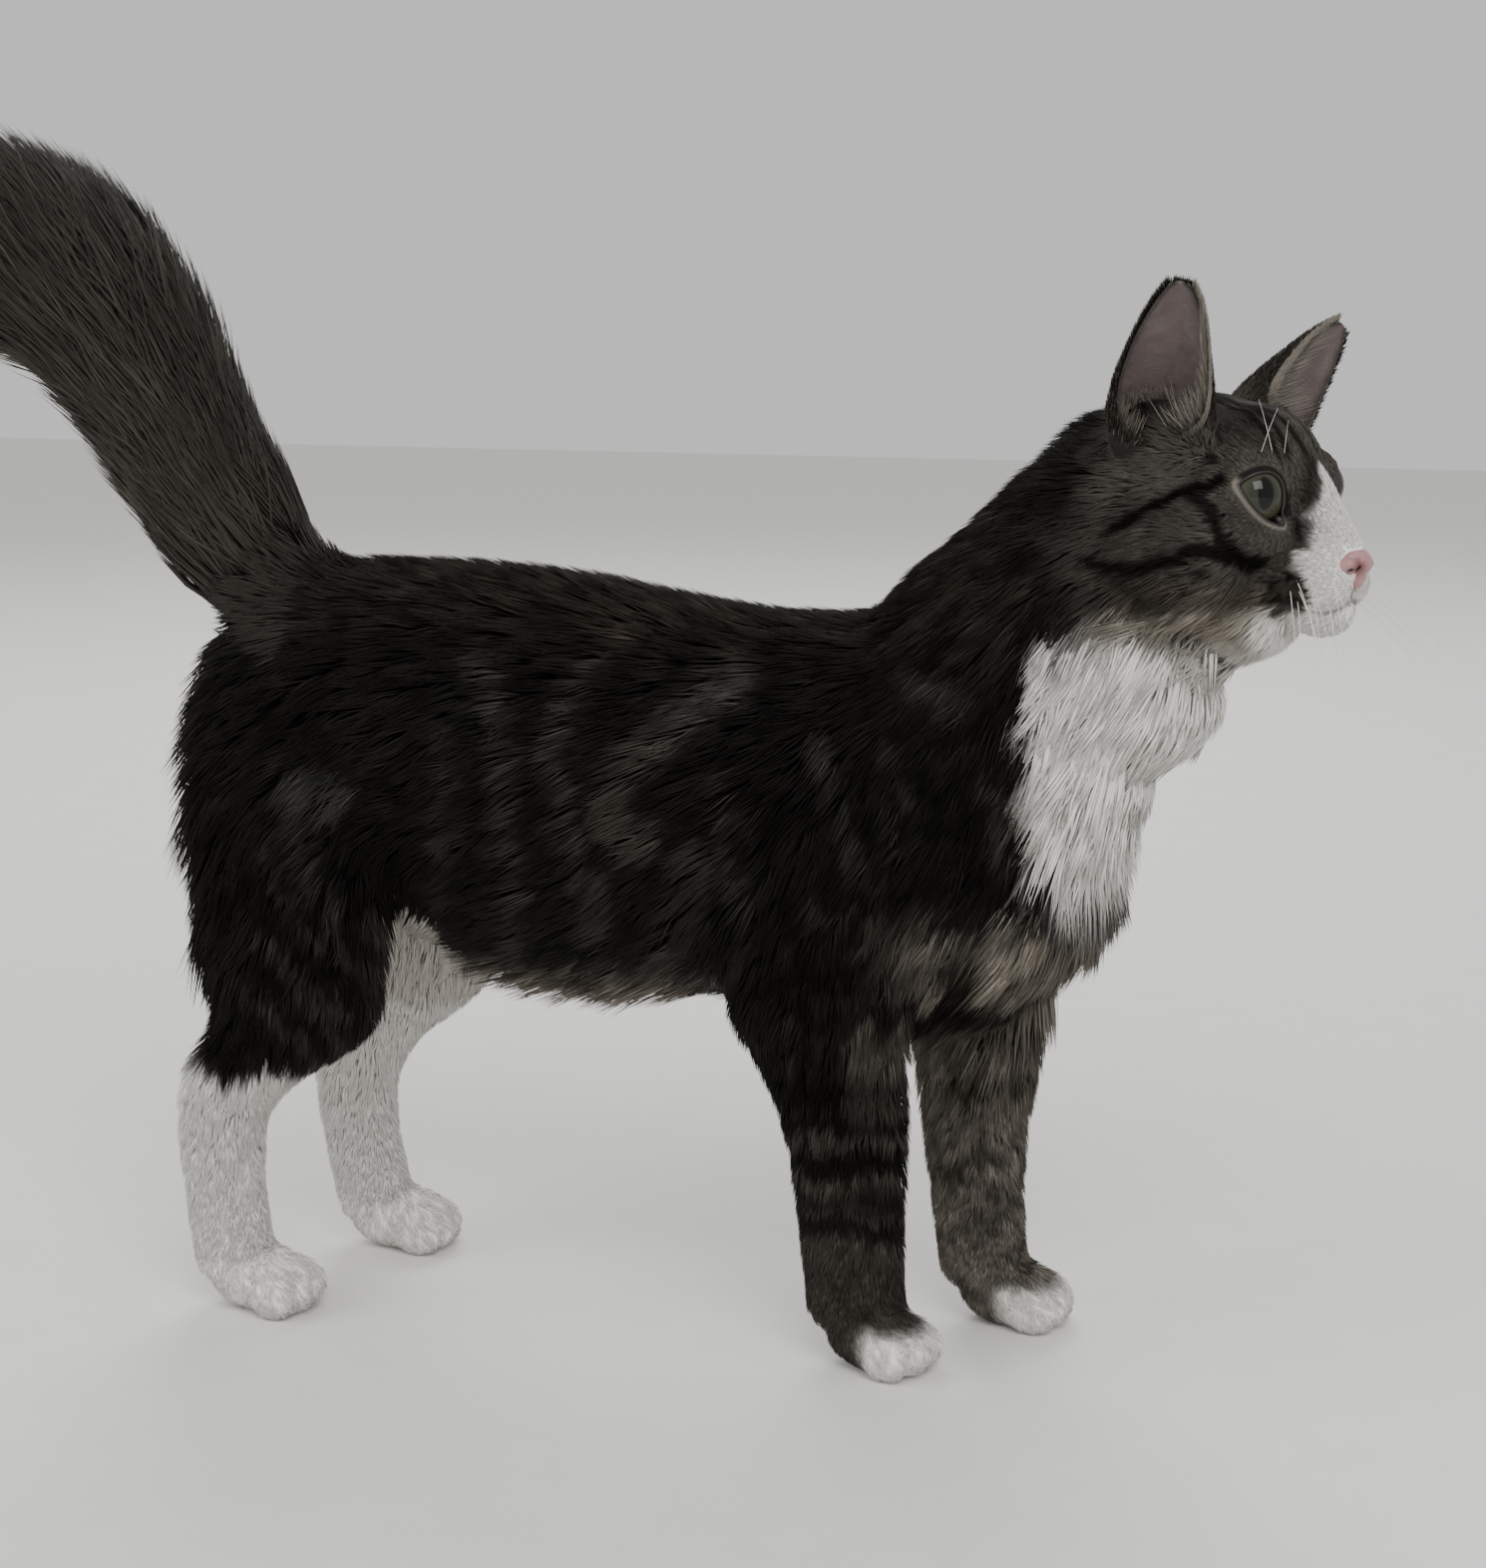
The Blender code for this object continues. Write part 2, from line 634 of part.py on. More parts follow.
def ear(name, *shape):
    """A cupped, pointed ear with its root sunk in the head and pale hair across its opening."""
    axis = EarAxis(*shape)
    made = axis.cone()
    made.name = name
    boolean(made, axis.cone(hollow=True), "DIFFERENCE")
    coat = Coat(made)
    side = 1.0 if name.startswith("right") else -1.0
    for share, aside, length, width in EAR_LOCKS:
        lie = axis.up.normalized() * 0.9 - axis.across * side * 0.3
        start = axis.spot(share, side * aside * EAR_SECTIONS[2][1], 3.0)
        coat.lock(start, lie, length, width, EAR_LOCK_RISE, EAR_LOCK_SINK, EAR_LOCK_THICK)
    return coat.join()


def paw(name, rows, side, ankle, heading, length, ankle_z, voxel=1.7, triangles=360):
    """A paw with four toes, flat on the floor, up to the cut at the ankle."""
    turn = Matrix.Rotation(math.radians(heading), 3, "Z")
    base = Vector((*ankle, 0))
    forms = [leg(rows, side, highest=ankle_z + 24)]
    radii = (length * 0.46, PAD_HALF_WIDTH, PAD_HALF_DEPTH)
    forms.append(ball("pad", base + turn @ Vector((length * 0.16, 0, PAD_HEIGHT)), radii, turn))
    for k in range(4):
        spread = k - 1.5
        lead = length * (0.48 - 0.06 * abs(spread))
        centre = base + turn @ Vector((lead, spread * TOE_SPACING, TOE_HEIGHT))
        forms.append(ball("toe", centre, TOE_RADII, turn))
    made = melted(name, forms, voxel, 2, triangles)
    boolean(made, slab((0, 0, ankle_z - GAP / 2), (0, 0, 1)), "DIFFERENCE")
    boolean(made, slab((0, 0, 0), (0, 0, -1)), "DIFFERENCE")
    return largest(made)


def body_form(triangles=2100):
    forms = [torso(), neck()]
    forms += [leg(NEAR_FORELEG, RIGHT), leg(FAR_FORELEG, LEFT)]
    forms += [leg(NEAR_HINDLEG, RIGHT), leg(FAR_HINDLEG, LEFT)]
    forms += [ball(*row) for row in BODY_FORMS]
    forms.append(loft("tail_stub", tail_rings(3)[:TAIL_STUB_RINGS], 20))
    return melted("torso", forms, BODY_VOXEL, 10, triangles)


class Coat:
    """Grows flat, tapered locks on a skin and joins them to it."""

    def __init__(self, item):
        self.item = item
        self.skin = BVHTree.FromObject(item, bpy.context.evaluated_depsgraph_get())
        self.draw = random.Random(SEED)
        self.locks = []

    def lock(self, start, lie, length, width, rise, sink=LOCK_SINK, full=LOCK_THICK):
        """A lock from the skin nearest to start, which bends along the skin and rises to its tip."""
        draw = self.draw
        length *= draw.uniform(0.86, 1.12)
        point, normal = self.skin.find_nearest(start)[:2]
        heading = (lie - normal * lie.dot(normal)).normalized()
        sway = normal.cross(heading) * draw.uniform(-0.18, 0.18)
        point = point - normal * sink * MM
        across = heading.cross(normal).normalized()
        rings, last = [], 0.0
        for share, wide, thick in LOCK_RINGS + ((1.0, 0.0, 0.0),):
            step = length * (share - last) * MM
            last = share
            spot = point + heading * step
            skin, normal = self.skin.find_nearest(spot)[:2]
            aim = ((rise + sink) * share ** 0.8 - sink) * MM
            height = (spot - skin).dot(normal)
            spot += normal * (aim - height) * (1.0 if height < aim else 0.6)
            if step > 0:
                heading = ((spot - point).normalized() + sway * step / (length * MM)).normalized()
            point = spot
            across = (across * LOCK_STIFFNESS + heading.cross(normal)).normalized()
            up = across.cross(heading).normalized()
            rings.append((point, across * width * wide / 2 * MM, up * full * thick / 2 * MM))
        self.locks.append(blade(rings))

    def join(self):
        return fused(self.item, self.locks)


def blade(rings):
    """A closed flat blade with a ridge, through rings of (centre, half width, half thickness), to a point."""
    points, faces, sides = [], [], 3
    for centre, wide, thick in rings[:-1]:
        points += [centre + wide - thick, centre + thick, centre - wide - thick]
    points.append(rings[-1][0])
    top = (len(rings) - 2) * sides
    for a in range(top + sides):
        b = a + 1 if (a + 1) % sides else a + 1 - sides
        if a < top:
            faces += [(a, b, b + sides), (a, b + sides, a + sides)]
        else:
            faces.append((a, b, len(points) - 1))
    faces.append((2, 1, 0))
    return mesh_object("lock", points, faces)


def body_coat(body):
    """The long coat of the breast, belly, rump and thighs."""
    coat = Coat(body)
    for name, count, first, last, lie, length, width, rise in BODY_LOCKS:
        for k in range(count):
            spot = Vector(first).lerp(Vector(last), k / (count - 1))
            coat.lock(place(*spot), Vector(lie), length, width, rise)
    guide = spline(BIB_RINGS, 4)
    for r in range(BIB_ROWS):
        x, z, deep, wide = guide[int((r + 0.2) / BIB_ROWS * (len(guide) - 1))]
        for k in range(BIB_ACROSS - r % 2):
            spread = 2 * (k + 0.5 * (r % 2) + 0.5) / BIB_ACROSS - 1
            turn = math.radians(BIB_SPREAD * spread)
            out = Vector((math.cos(turn) * 0.88, math.sin(turn), -math.cos(turn) * 0.48))
            tip = place(x, 0, z) + Vector((out.x * deep, out.y * wide, out.z * deep)) * MM
            skin = coat.skin.find_nearest(tip)[0]
            rise = max(5.0, (tip - skin).length / MM)
            lie = Vector((-0.30 - 0.25 * abs(spread), 0.10 * spread, -0.92))
            coat.lock(skin, lie, BIB_LOCK[0] * (1 - 0.05 * r), BIB_LOCK[1], rise)
    return coat.join()


def tail():
    """The tail's core and its bushy coat, with the locks lying towards the tip."""
    core = loft("tail", rounded(tail_rings(2)), 12)
    coat = Coat(core)
    rows = spline(TAIL_RINGS, 4)
    for r in range(TAIL_ROWS):
        i = int((r + 0.9) / TAIL_ROWS * (len(rows) - 3))
        x, y, z, thin, fur = rows[i]
        along = (Vector(rows[i + 1][:3]) - Vector(rows[i - 1][:3])).normalized()
        across = Vector((0, 1, 0)).cross(along).normalized()
        aside = along.cross(across)
        full = rows[min(i + 5, len(rows) - 1)][4]
        for k in range(TAIL_ROUND):
            turn = 2 * math.pi * (k + 0.5 * (r % 2)) / TAIL_ROUND
            out = aside * math.cos(turn) + across * math.sin(turn)
            root = place(x, y, z) + out * thin * MM
            rise = (full - thin) * (1.0 - TAIL_DROOP * min(0.0, math.sin(turn)))
            length = full * TAIL_LOCK[0] * (1 - TAIL_SHORTER * r)
            coat.lock(root, along, length, full * TAIL_LOCK[1], rise)
    made = coat.join()
    rest = parted(made, "tail_piece", *TAIL_CUT)
    bpy.data.objects.remove(made)
    rest.name = "tail"
    return rest


def main():
    clear_scene()
    dark = coat_material("dark_tabby_coat", (0.035, 0.032, 0.03))
    white = coat_material("white_coat", (0.72, 0.70, 0.67))
    grey = coat_material("grey_tabby_coat", (0.12, 0.11, 0.10))
    pink = coat_material("nose_leather", (0.55, 0.25, 0.25), 0.5)
    glass = coat_material("eye_surface", (0.20, 0.22, 0.12), 0.1)
    ear_skin = coat_material("ear_coat", (0.16, 0.13, 0.13))
    finish = {}

    body = body_coat(body_form())
    finish[tail().name] = dark
    bpy.data.objects.remove(parted(body, "stub", *TAIL_CUT))
    whole_head = head_form()
    head = parted(whole_head, "head_piece", *HEAD_CUT)
    bpy.data.objects.remove(whole_head)
    head.name = "head"
    bpy.data.objects.remove(parted(body, "upper_neck", *HEAD_CUT))

    for row in LEG_ARCHES:
        item = arched(body, *row)
        floor = FORE_ANKLE_Z if "fore" in item.name else HIND_ANKLE_Z
        boolean(item, slab((0, 0, floor + GAP / 2), (0, 0, -1)), "DIFFERENCE")
        finish[largest(item).name] = dark
    finish[parted(body, "neck", *NECK_CUT).name] = dark
    for row in PAWS:
        paw(*row)
        finish[row[0]] = white
    for row in EARS:
        finish[ear(*row).name] = ear_skin
    for item in eyes():
        finish[item.name] = glass
    tree = BVHTree.FromObject(head, bpy.context.evaluated_depsgraph_get())
    for tube in mouth_line(tree):
        boolean(head, tube, "DIFFERENCE")
    largest(head)
    finish[nose().name] = pink
    finish.update({"torso": dark, "head": grey})
    for item in bpy.data.objects:
        item.data.materials.clear()
        item.data.materials.append(finish[item.name])
        item.data.shade_smooth()


main()
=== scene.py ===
# A life-size standing cat of medium-long coat: charcoal tabby with a white breast, muzzle and feet.
# Blender 4.5, metres, +Z up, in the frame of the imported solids. Sizes are in millimetres in the cat's own
# frame, whose zero is on the floor below the middle of the back, and are moved by MIDDLE when they are built.
import math

import bmesh
import bpy
import numpy as np
from mathutils import Matrix, Vector
from mathutils.bvhtree import BVHTree
from mathutils.kdtree import KDTree


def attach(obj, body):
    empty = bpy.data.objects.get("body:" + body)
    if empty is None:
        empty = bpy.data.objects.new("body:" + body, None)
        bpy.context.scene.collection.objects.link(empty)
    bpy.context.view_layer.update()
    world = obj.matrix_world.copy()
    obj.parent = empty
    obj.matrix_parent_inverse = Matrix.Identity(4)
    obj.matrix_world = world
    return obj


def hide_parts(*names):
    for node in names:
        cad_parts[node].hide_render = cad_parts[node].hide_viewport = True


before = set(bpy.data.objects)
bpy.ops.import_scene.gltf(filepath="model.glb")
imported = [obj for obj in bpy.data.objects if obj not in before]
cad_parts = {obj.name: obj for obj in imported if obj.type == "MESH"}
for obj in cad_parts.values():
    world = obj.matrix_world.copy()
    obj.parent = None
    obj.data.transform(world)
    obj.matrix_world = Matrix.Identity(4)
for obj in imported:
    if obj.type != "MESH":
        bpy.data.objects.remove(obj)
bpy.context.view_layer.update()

MM = 0.001
MIDDLE = np.array((87.7, 0.0, 0.0))
RIGHT, LEFT = -1, 1


# The view: a camera one metre off, a little ahead of the cat's right side and above it, with a pale floor
# and three soft lamps round a pale room.
VIEW_TURN, VIEW_RISE = math.radians(17.0), math.radians(10.5)
VIEW_AIM, VIEW_DISTANCE, VIEW_LENS = (0.0, 0.0, 190.0), 1000.0, 71.48


def in_row(points):
    """Points of the cat's own frame in metres about the model's origin."""
    return (np.asarray(points, float) + MIDDLE) * MM


def linked(name, data):
    made = bpy.data.objects.new(name, data)
    bpy.context.scene.collection.objects.link(made)
    return made


def aimed(item, place, at):
    """Puts a camera or lamp at a place, looking at a point."""
    item.location = Vector(place)
    item.rotation_euler = (Vector(at) - Vector(place)).to_track_quat("-Z", "Y").to_euler()
    return item


ahead = np.array((-math.sin(VIEW_TURN) * math.cos(VIEW_RISE), math.cos(VIEW_TURN) * math.cos(VIEW_RISE),
                  -math.sin(VIEW_RISE)))
camera = linked("camera", bpy.data.cameras.new("camera"))
camera.data.sensor_fit = "HORIZONTAL"
camera.data.sensor_width = 36.0
camera.data.lens = VIEW_LENS
camera.data.clip_start = 0.01
aimed(camera, in_row(np.array(VIEW_AIM) - ahead * VIEW_DISTANCE), in_row(VIEW_AIM))
bpy.context.scene.camera = camera

# Lamps: name, place in metres, size, power
LAMPS = (
    ("key_lamp", (0.9, -1.5, 1.7), 1.3, 30.0),
    ("fill_lamp", (-1.5, -1.0, 1.0), 1.4, 14.0),
    ("back_lamp", (-0.4, 1.6, 1.6), 1.2, 22.0),
)
LAMP_AIM = (0.0, 0.0, 0.2)
ROOM_COLOUR, ROOM_STRENGTH = (0.93, 0.93, 0.92, 1.0), 0.75
for name, place, size, power in LAMPS:
    lamp = bpy.data.lights.new(name, "AREA")
    lamp.size = size
    lamp.energy = power
    aimed(linked(name, lamp), place, LAMP_AIM)
room = bpy.data.worlds.new("pale_room")
room.use_nodes = True
room.node_tree.nodes["Background"].inputs["Color"].default_value = ROOM_COLOUR
room.node_tree.nodes["Background"].inputs["Strength"].default_value = ROOM_STRENGTH
bpy.context.scene.world = room


class Wire:
    """An output in a material's node tree. Sums of wires and numbers add Math nodes, node() any other."""

    def __init__(self, tree, socket=None):
        self.tree, self.socket = tree, socket

    def node(self, kind, settings=None, output=0, **sockets):
        made = self.tree.nodes.new(kind)
        for key, value in (settings or {}).items():
            if key == "stops":
                while len(made.color_ramp.elements) < len(value):
                    made.color_ramp.elements.new(0.5)
                for stop, (place, colour) in zip(made.color_ramp.elements, value):
                    stop.position, stop.color = place, (*colour, 1.0)
            else:
                setattr(made, key, value)
        for key, value in sockets.items():
            socket = made.inputs[int(key[1:])] if key[0] == "_" else made.inputs[key.replace("_", " ")]
            if isinstance(value, Wire):
                self.tree.links.new(value.socket, socket)
            else:
                socket.default_value = value
        return Wire(self.tree, made.outputs[output])

    def noise(self, scale, detail, **sockets):
        """Noise over the mesh's own places."""
        place = self.node("ShaderNodeTexCoord", output=3)
        return self.node("ShaderNodeTexNoise", Vector=place, Scale=scale, Detail=detail, **sockets)

    def colour(self, red, green, blue):
        made = self.node("ShaderNodeRGB")
        made.socket.default_value = (red, green, blue, 1.0)
        return made

    def mark(self, name):
        """A number stored on the mesh's points."""
        return self.node("ShaderNodeAttribute", {"attribute_name": name}, 2)

    def bump(self, height, strength, distance):
        return self.node("ShaderNodeBump", Height=height, Strength=strength, Distance=distance)

    def maths(self, operation, first, second):
        return self.node("ShaderNodeMath", {"operation": operation}, _0=first, _1=second)

    def __add__(self, other):
        return self.maths("ADD", self, other)

    def __radd__(self, other):
        return self.maths("ADD", other, self)

    def __sub__(self, other):
        return self.maths("SUBTRACT", self, other)

    def __rsub__(self, other):
        return self.maths("SUBTRACT", other, self)

    def __mul__(self, other):
        return self.maths("MULTIPLY", self, other)

    def __rmul__(self, other):
        return self.maths("MULTIPLY", other, self)

    def __pow__(self, other):
        return self.maths("POWER", self, other)

    def shaded(self, amount):
        """This colour made darker or lighter by a number that varies."""
        return self.node("ShaderNodeVectorMath", {"operation": "SCALE"}, _0=self, _3=amount)

    def mixed(self, other, factor):
        """This colour with another laid over it by a factor."""
        return self.node("ShaderNodeMix", {"data_type": "RGBA"}, 2, _0=factor, _6=self, _7=other)


def finish_of(name, roughness, **constants):
    """A new material, with its shader and a first wire for its node tree."""
    made = bpy.data.materials.new(name)
    made.use_nodes = True
    shader = made.node_tree.nodes["Principled BSDF"]
    shader.inputs["Roughness"].default_value = roughness
    for key, value in constants.items():
        shader.inputs[key.replace("_", " ")].default_value = value
    return made, shader, Wire(made.node_tree)


def feed(wire, shader, socket):
    wire.tree.links.new(wire.socket, shader.inputs[socket])


def settled(piece, paint):
    """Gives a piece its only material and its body."""
    piece.data.materials.clear()
    piece.data.materials.append(paint)
    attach(piece, "root")
    return piece


FLOOR_HALF, FLOOR_DROP = 4.0, 0.0003
paint, shader, wire = finish_of("pale_floor_paint", 0.8)
tint = wire.colour(0.80, 0.79, 0.77)
feed(tint.shaded(0.97 + 0.06 * wire.noise(40.0, 4.0)), shader, "Base Color")
sheet = bpy.data.meshes.new("floor")
sheet.from_pydata([(x * FLOOR_HALF, y * FLOOR_HALF, 0) for x, y in ((-1, -1), (1, -1), (1, 1), (-1, 1))], [],
                  [(0, 1, 2, 3)])
sheet.materials.append(paint)
floor = linked("floor", sheet)
floor.location.z = -FLOOR_DROP


# The body's skin: one closed surface from the nose to the end of the tail's core. It lies inside the outline
# by the depth of the short coat, and by none where the long locks of the breast and tail grow from their core.
# Torso rings: x, top of the back, underside, half width
TORSO_RINGS = (
    (-190, 230, 190, 14),
    (-178, 247, 162, 29),
    (-150, 257, 147, 40),
    (-113, 259, 137, 46),
    (-66, 257, 125, 50),
    (-23, 251, 124, 50),
    (16, 246, 121, 48),
    (50, 247, 115, 45),
    (80, 240, 117, 40),
    (100, 222, 132, 33),
    (112, 198, 154, 20),
)
# Neck rings: centre x and z, half depth, half width
NECK_RINGS = (
    (66, 184, 54, 40),
    (80, 206, 50, 38),
    (96, 230, 46, 34),
    (113, 254, 39, 31),
    (127, 275, 35, 29),
    (138, 290, 27, 25),
)
# Leg rings from the top down: centre x and y, z, half depth, half width
NEAR_FORELEG = (
    (52, 26, 205, 28, 8),
    (46, 31, 172, 33, 13),
    (39, 32, 142, 31.5, 14.5),
    (37, 32, 118, 27, 14.5),
    (42, 30, 98, 21.5, 14),
    (45, 28, 76, 18.5, 13.3),
    (46, 27, 52, 17, 12.8),
    (47, 26, 30, 16.2, 12.8),
    (48, 26, 14, 15.6, 13),
)
FAR_FORELEG = (
    (66, 26, 205, 28, 8),
    (68, 31, 172, 31, 13),
    (72, 32, 142, 28, 14.5),
    (74, 32, 118, 25, 14.5),
    (76, 30, 98, 20.5, 14),
    (76, 28, 72, 17.2, 13.3),
    (77, 27, 50, 15.4, 12.5),
    (79, 26, 30, 14.8, 12.4),
    (81, 26, 14, 14.6, 12.6),
)
NEAR_HINDLEG = (
    (-150, 22, 228, 29, 10),
    (-150, 29, 198, 35, 17),
    (-151, 32, 162, 33, 19),
    (-152, 35, 128, 31, 18),
    (-152, 36, 104, 27, 16),
    (-170, 37, 87, 20.5, 13.6),
    (-180, 37, 69, 14.6, 11.6),
    (-180, 37, 44, 13.2, 11.4),
    (-178, 37, 24, 13.4, 12),
    (-176, 37, 12, 13.6, 12),
)
FAR_HINDLEG = (
    (-148, 22, 228, 29, 10),
    (-146, 29, 198, 37, 17),
    (-140, 32, 162, 37, 19),
    (-133, 35, 128, 31, 18),
    (-138, 36, 104, 25.5, 16),
    (-155, 37, 84, 18.5, 13.6),
    (-162, 37, 66, 14.2, 11.8),
    (-161, 37, 44, 13.2, 11.4),
    (-157, 37, 24, 13.4, 12),
    (-155, 37, 12, 13.6, 12),
)
LEGS = (
    ("right_foreleg", NEAR_FORELEG, RIGHT),
    ("left_foreleg", FAR_FORELEG, LEFT),
    ("right_hindleg", NEAR_HINDLEG, RIGHT),
    ("left_hindleg", FAR_HINDLEG, LEFT),
)
# Paws: side, ankle x and y, heading in degrees, length
PAWS = (
    ("right_forepaw", (50, -27), -20, 42),
    ("left_forepaw", (84, 26), -4, 42),
    ("right_hindpaw", (-173, -37), -6, 44),
    ("left_hindpaw", (-152, 37), 2, 44),
)
# Tail rings: centre line x, y, z, radius of the core and radius of the coat
TAIL_RINGS = (
    (-142, 0, 226, 20, 20),
    (-168, 0, 250, 19, 23),
    (-189, 0, 276, 16, 28),
    (-209, 2, 305, 14, 31.5),
    (-230, 5, 336, 13, 38),
    (-261, 9, 360, 12, 41),
    (-297, 13, 374, 10, 38),
    (-328, 16, 379, 8, 33),
    (-352, 18, 378, 5, 26),
)
# Rounded forms of the haunches, the chest and the throat: centre, half axes
BODY_FORMS = (((-148, 0, 210), (40, 36, 38)), ((84, 0, 168), (36, 31, 39)), ((139, -3, 231), (19, 20, 21)))
# The head has a frame of its own: x ahead, y left, z up, from the middle of the cranium
HEAD_CENTRE = np.array((158.0, -6.0, 287.0))
HEAD_YAW = math.radians(-20.0)
# Forms of the head: centre, half axes, whether it is on both sides
HEAD_FORMS = (
    ((-6, 0, 7), (39, 31.5, 28.5), False),
    ((-33, 0, 1), (22, 26, 29), False),
    ((11, 0, 14), (22, 23.5, 19.4), False),
    ((17, 13, 14), (14, 11, 9), True),
    ((-2, 20, -12), (24, 18, 19), True),
    ((12, 0, -18), (29.5, 19.5, 15.5), False),
    ((30, 0, -13), (20.2, 14.8, 14.0), False),
    ((38.6, 6.4, -20), (11.2, 9.0, 8.6), True),
    ((37.4, 0, -28.4), (10.8, 8.6, 7.6), False),
    ((19, 15, -4), (15, 12, 11), True),
    ((16, 20, -3), (14, 10, 10), True),
    ((7, 21.5, 5), (16, 9.5, 13), True),
    ((14, 18.5, 14.5), (13, 10, 9), True),
    ((22, 19.5, 8), (11.7, 11.7, 11.7), True),
    ((-6, 25, 16), (16, 10, 14), True),
    ((9, 0, -32), (19, 16, 12.5), False),
    ((-3.5, 28.5, 23), (14.5, 9.5, 11.5), True),
)
# The bridge of the nose: centre, half width, half height
NOSE_BRIDGE = ((17, 0, 20, 11, 11), (29.5, 0, 8, 8.8, 9.4), (38, 0, -1.8, 7.2, 7.2),
               (45.5, 0, -10.4, 6.2, 5.6))
EYE_CENTRE, EYE_RADIUS = (22.0, 19.5, 8.0), 10.4
EYE_TURN, EYE_TILT = 30.0, 38.0
# The edge of the lids in the eye's frame, towards the nose and up, from the outer corner over the top
LID_LINE = ((-9.2, -2.4), (-7.7, 3.0), (-3.6, 6.9), (0.8, 7.1), (4.4, 4.4), (7.8, 0.8), (11.0, -3.0),
            (7.0, -5.3), (1.0, -6.2), (-5.2, -5.2))
LID_MIDDLE = (1.0, 0.2)
# The line of the lips on the head, from under the nose to the corner of the mouth
MOUTH_WAY = ((51, 0, -20.5), (50.5, 0.5, -24), (46.5, 5.5, -27), (39, 11, -28), (32, 14.5, -27),
             (26, 17, -25))
MOUTH_DEPTH, MOUTH_RADIUS = 1.2, 1.0
SKIN_VOXEL, SKIN_SMOOTHING, BODY_SMOOTHING = 1.35, 9, 30
# How near an eye, or the middle of the muzzle, the skin's faces are divided
FINE_EYE, MUZZLE_MIDDLE, FINE_MUZZLE = 17, (38, 0, -18), 24
# How deep the prism that opens the lids reaches, and the room round the eyeball
LID_REACH, SOCKET_ROOM = (5.0, 30.0), 0.3


def spline(rows, steps):
    """A smooth run through rows of numbers, with steps parts between two of them."""
    rows = np.asarray(rows, float)
    last = len(rows) - 1
    out = []
    for i in range(last):
        a, b, c, d = rows[max(i - 1, 0)], rows[i], rows[i + 1], rows[min(i + 2, last)]
        for t in np.arange(steps) / steps:
            bend, swing = t * t, t ** 3
            out.append(b + 0.5 * ((c - a) * t + (2 * a - 5 * b + 4 * c - d) * bend
                                  + (3 * b - a - 3 * c + d) * swing))
    return np.array(out + [rows[last]])


def unit(vectors):
    vectors = np.asarray(vectors, float)
    return vectors / np.maximum(np.linalg.norm(vectors, axis=-1, keepdims=True), 1e-9)


def loft(rings, sides=32):
    """Points and faces of a closed tube through rings of (centre, first half axis, second half axis)."""
    turn = 2 * math.pi * np.arange(sides) / sides
    points = [np.asarray(c) + np.outer(np.cos(turn), a) + np.outer(np.sin(turn), b) for c, a, b in rings]
    faces = []
    for r in range(len(rings) - 1):
        for k in range(sides):
            n = (k + 1) % sides
            faces.append((r * sides + k, r * sides + n, (r + 1) * sides + n, (r + 1) * sides + k))
    faces.append(tuple(range(sides))[::-1])
    faces.append(tuple(range((len(rings) - 1) * sides, len(rings) * sides)))
    return np.concatenate(points), faces


def domed(rings):
    """Adds shrinking rings past both ends, so that a loft closes in a dome."""
    first, last = rings[0], rings[-1]
    start = unit(first[0] - rings[1][0]) * np.linalg.norm(first[1])
    end = unit(last[0] - rings[-2][0]) * np.linalg.norm(last[1])
    before, after = [], []
    for share in (0.92, 0.75, 0.5, 0.2):
        reach = math.sqrt(1 - share * share)
        before.insert(0, (first[0] + start * reach, first[1] * share, first[2] * share))
        after.append((last[0] + end * reach, last[1] * share, last[2] * share))
    return before + list(rings) + after


def ball(centre, radii, turn=None, segments=32, rings=18):
    """Points and faces of an ellipsoid."""
    lift = math.pi * np.arange(1, rings) / rings
    turn = np.eye(3) if turn is None else turn
    around = 2 * math.pi * np.arange(segments) / segments
    points = [(0.0, 0.0, 1.0)]
    points += [(math.sin(t) * math.cos(a), math.sin(t) * math.sin(a), math.cos(t))
               for t in lift for a in around]
    points.append((0.0, 0.0, -1.0))
    faces = [(0, 1 + k, 1 + (k + 1) % segments) for k in range(segments)]
    for r in range(rings - 2):
        for k in range(segments):
            a, b = 1 + r * segments + k, 1 + r * segments + (k + 1) % segments
            faces.append((a, a + segments, b + segments, b))
    base, end = 1 + (rings - 2) * segments, len(points) - 1
    faces += [(base + (k + 1) % segments, base + k, end) for k in range(segments)]
    return np.asarray(centre) + (np.array(points) * np.asarray(radii, float)) @ turn.T, faces


def mesh_of(name, forms):
    """One object from several sets of points and faces, given in the cat's own frame."""
    points, faces, count = [], [], 0
    for some, more in forms:
        points.append(some)
        faces += [tuple(i + count for i in face) for face in more]
        count += len(some)
    data = bpy.data.meshes.new(name)
    data.from_pydata(in_row(np.concatenate(points)).tolist(), [], faces)
    data.update()
    return linked(name, data)


def worked(item):
    """The item with its modifiers worked into its mesh."""
    graph = bpy.context.evaluated_depsgraph_get()
    data = bpy.data.meshes.new_from_object(item.evaluated_get(graph))
    item.modifiers.clear()
    old, item.data = item.data, data
    bpy.data.meshes.remove(old)
    return item


def melted(item, voxel, smooth_steps):
    """One smooth closed skin round overlapping forms."""
    remesh = item.modifiers.new("remesh", "REMESH")
    remesh.mode = "VOXEL"
    remesh.voxel_size = voxel * MM
    smooth = item.modifiers.new("smooth", "SMOOTH")
    smooth.factor = 0.5
    smooth.iterations = smooth_steps
    return worked(item)


def cut(item, other):
    """Cuts another closed mesh out of the item, and removes the other."""
    step = item.modifiers.new("cut", "BOOLEAN")
    step.solver = "MANIFOLD"
    step.object = other
    worked(item)
    bpy.data.objects.remove(other)
    return item


def turned(yaw, tilt=0.0):
    """A turn about z by a yaw, after a tilt about x, as a matrix."""
    return np.array(Matrix.Rotation(yaw, 3, "Z") @ Matrix.Rotation(tilt, 3, "X"))


HEAD_TURN = turned(HEAD_YAW)


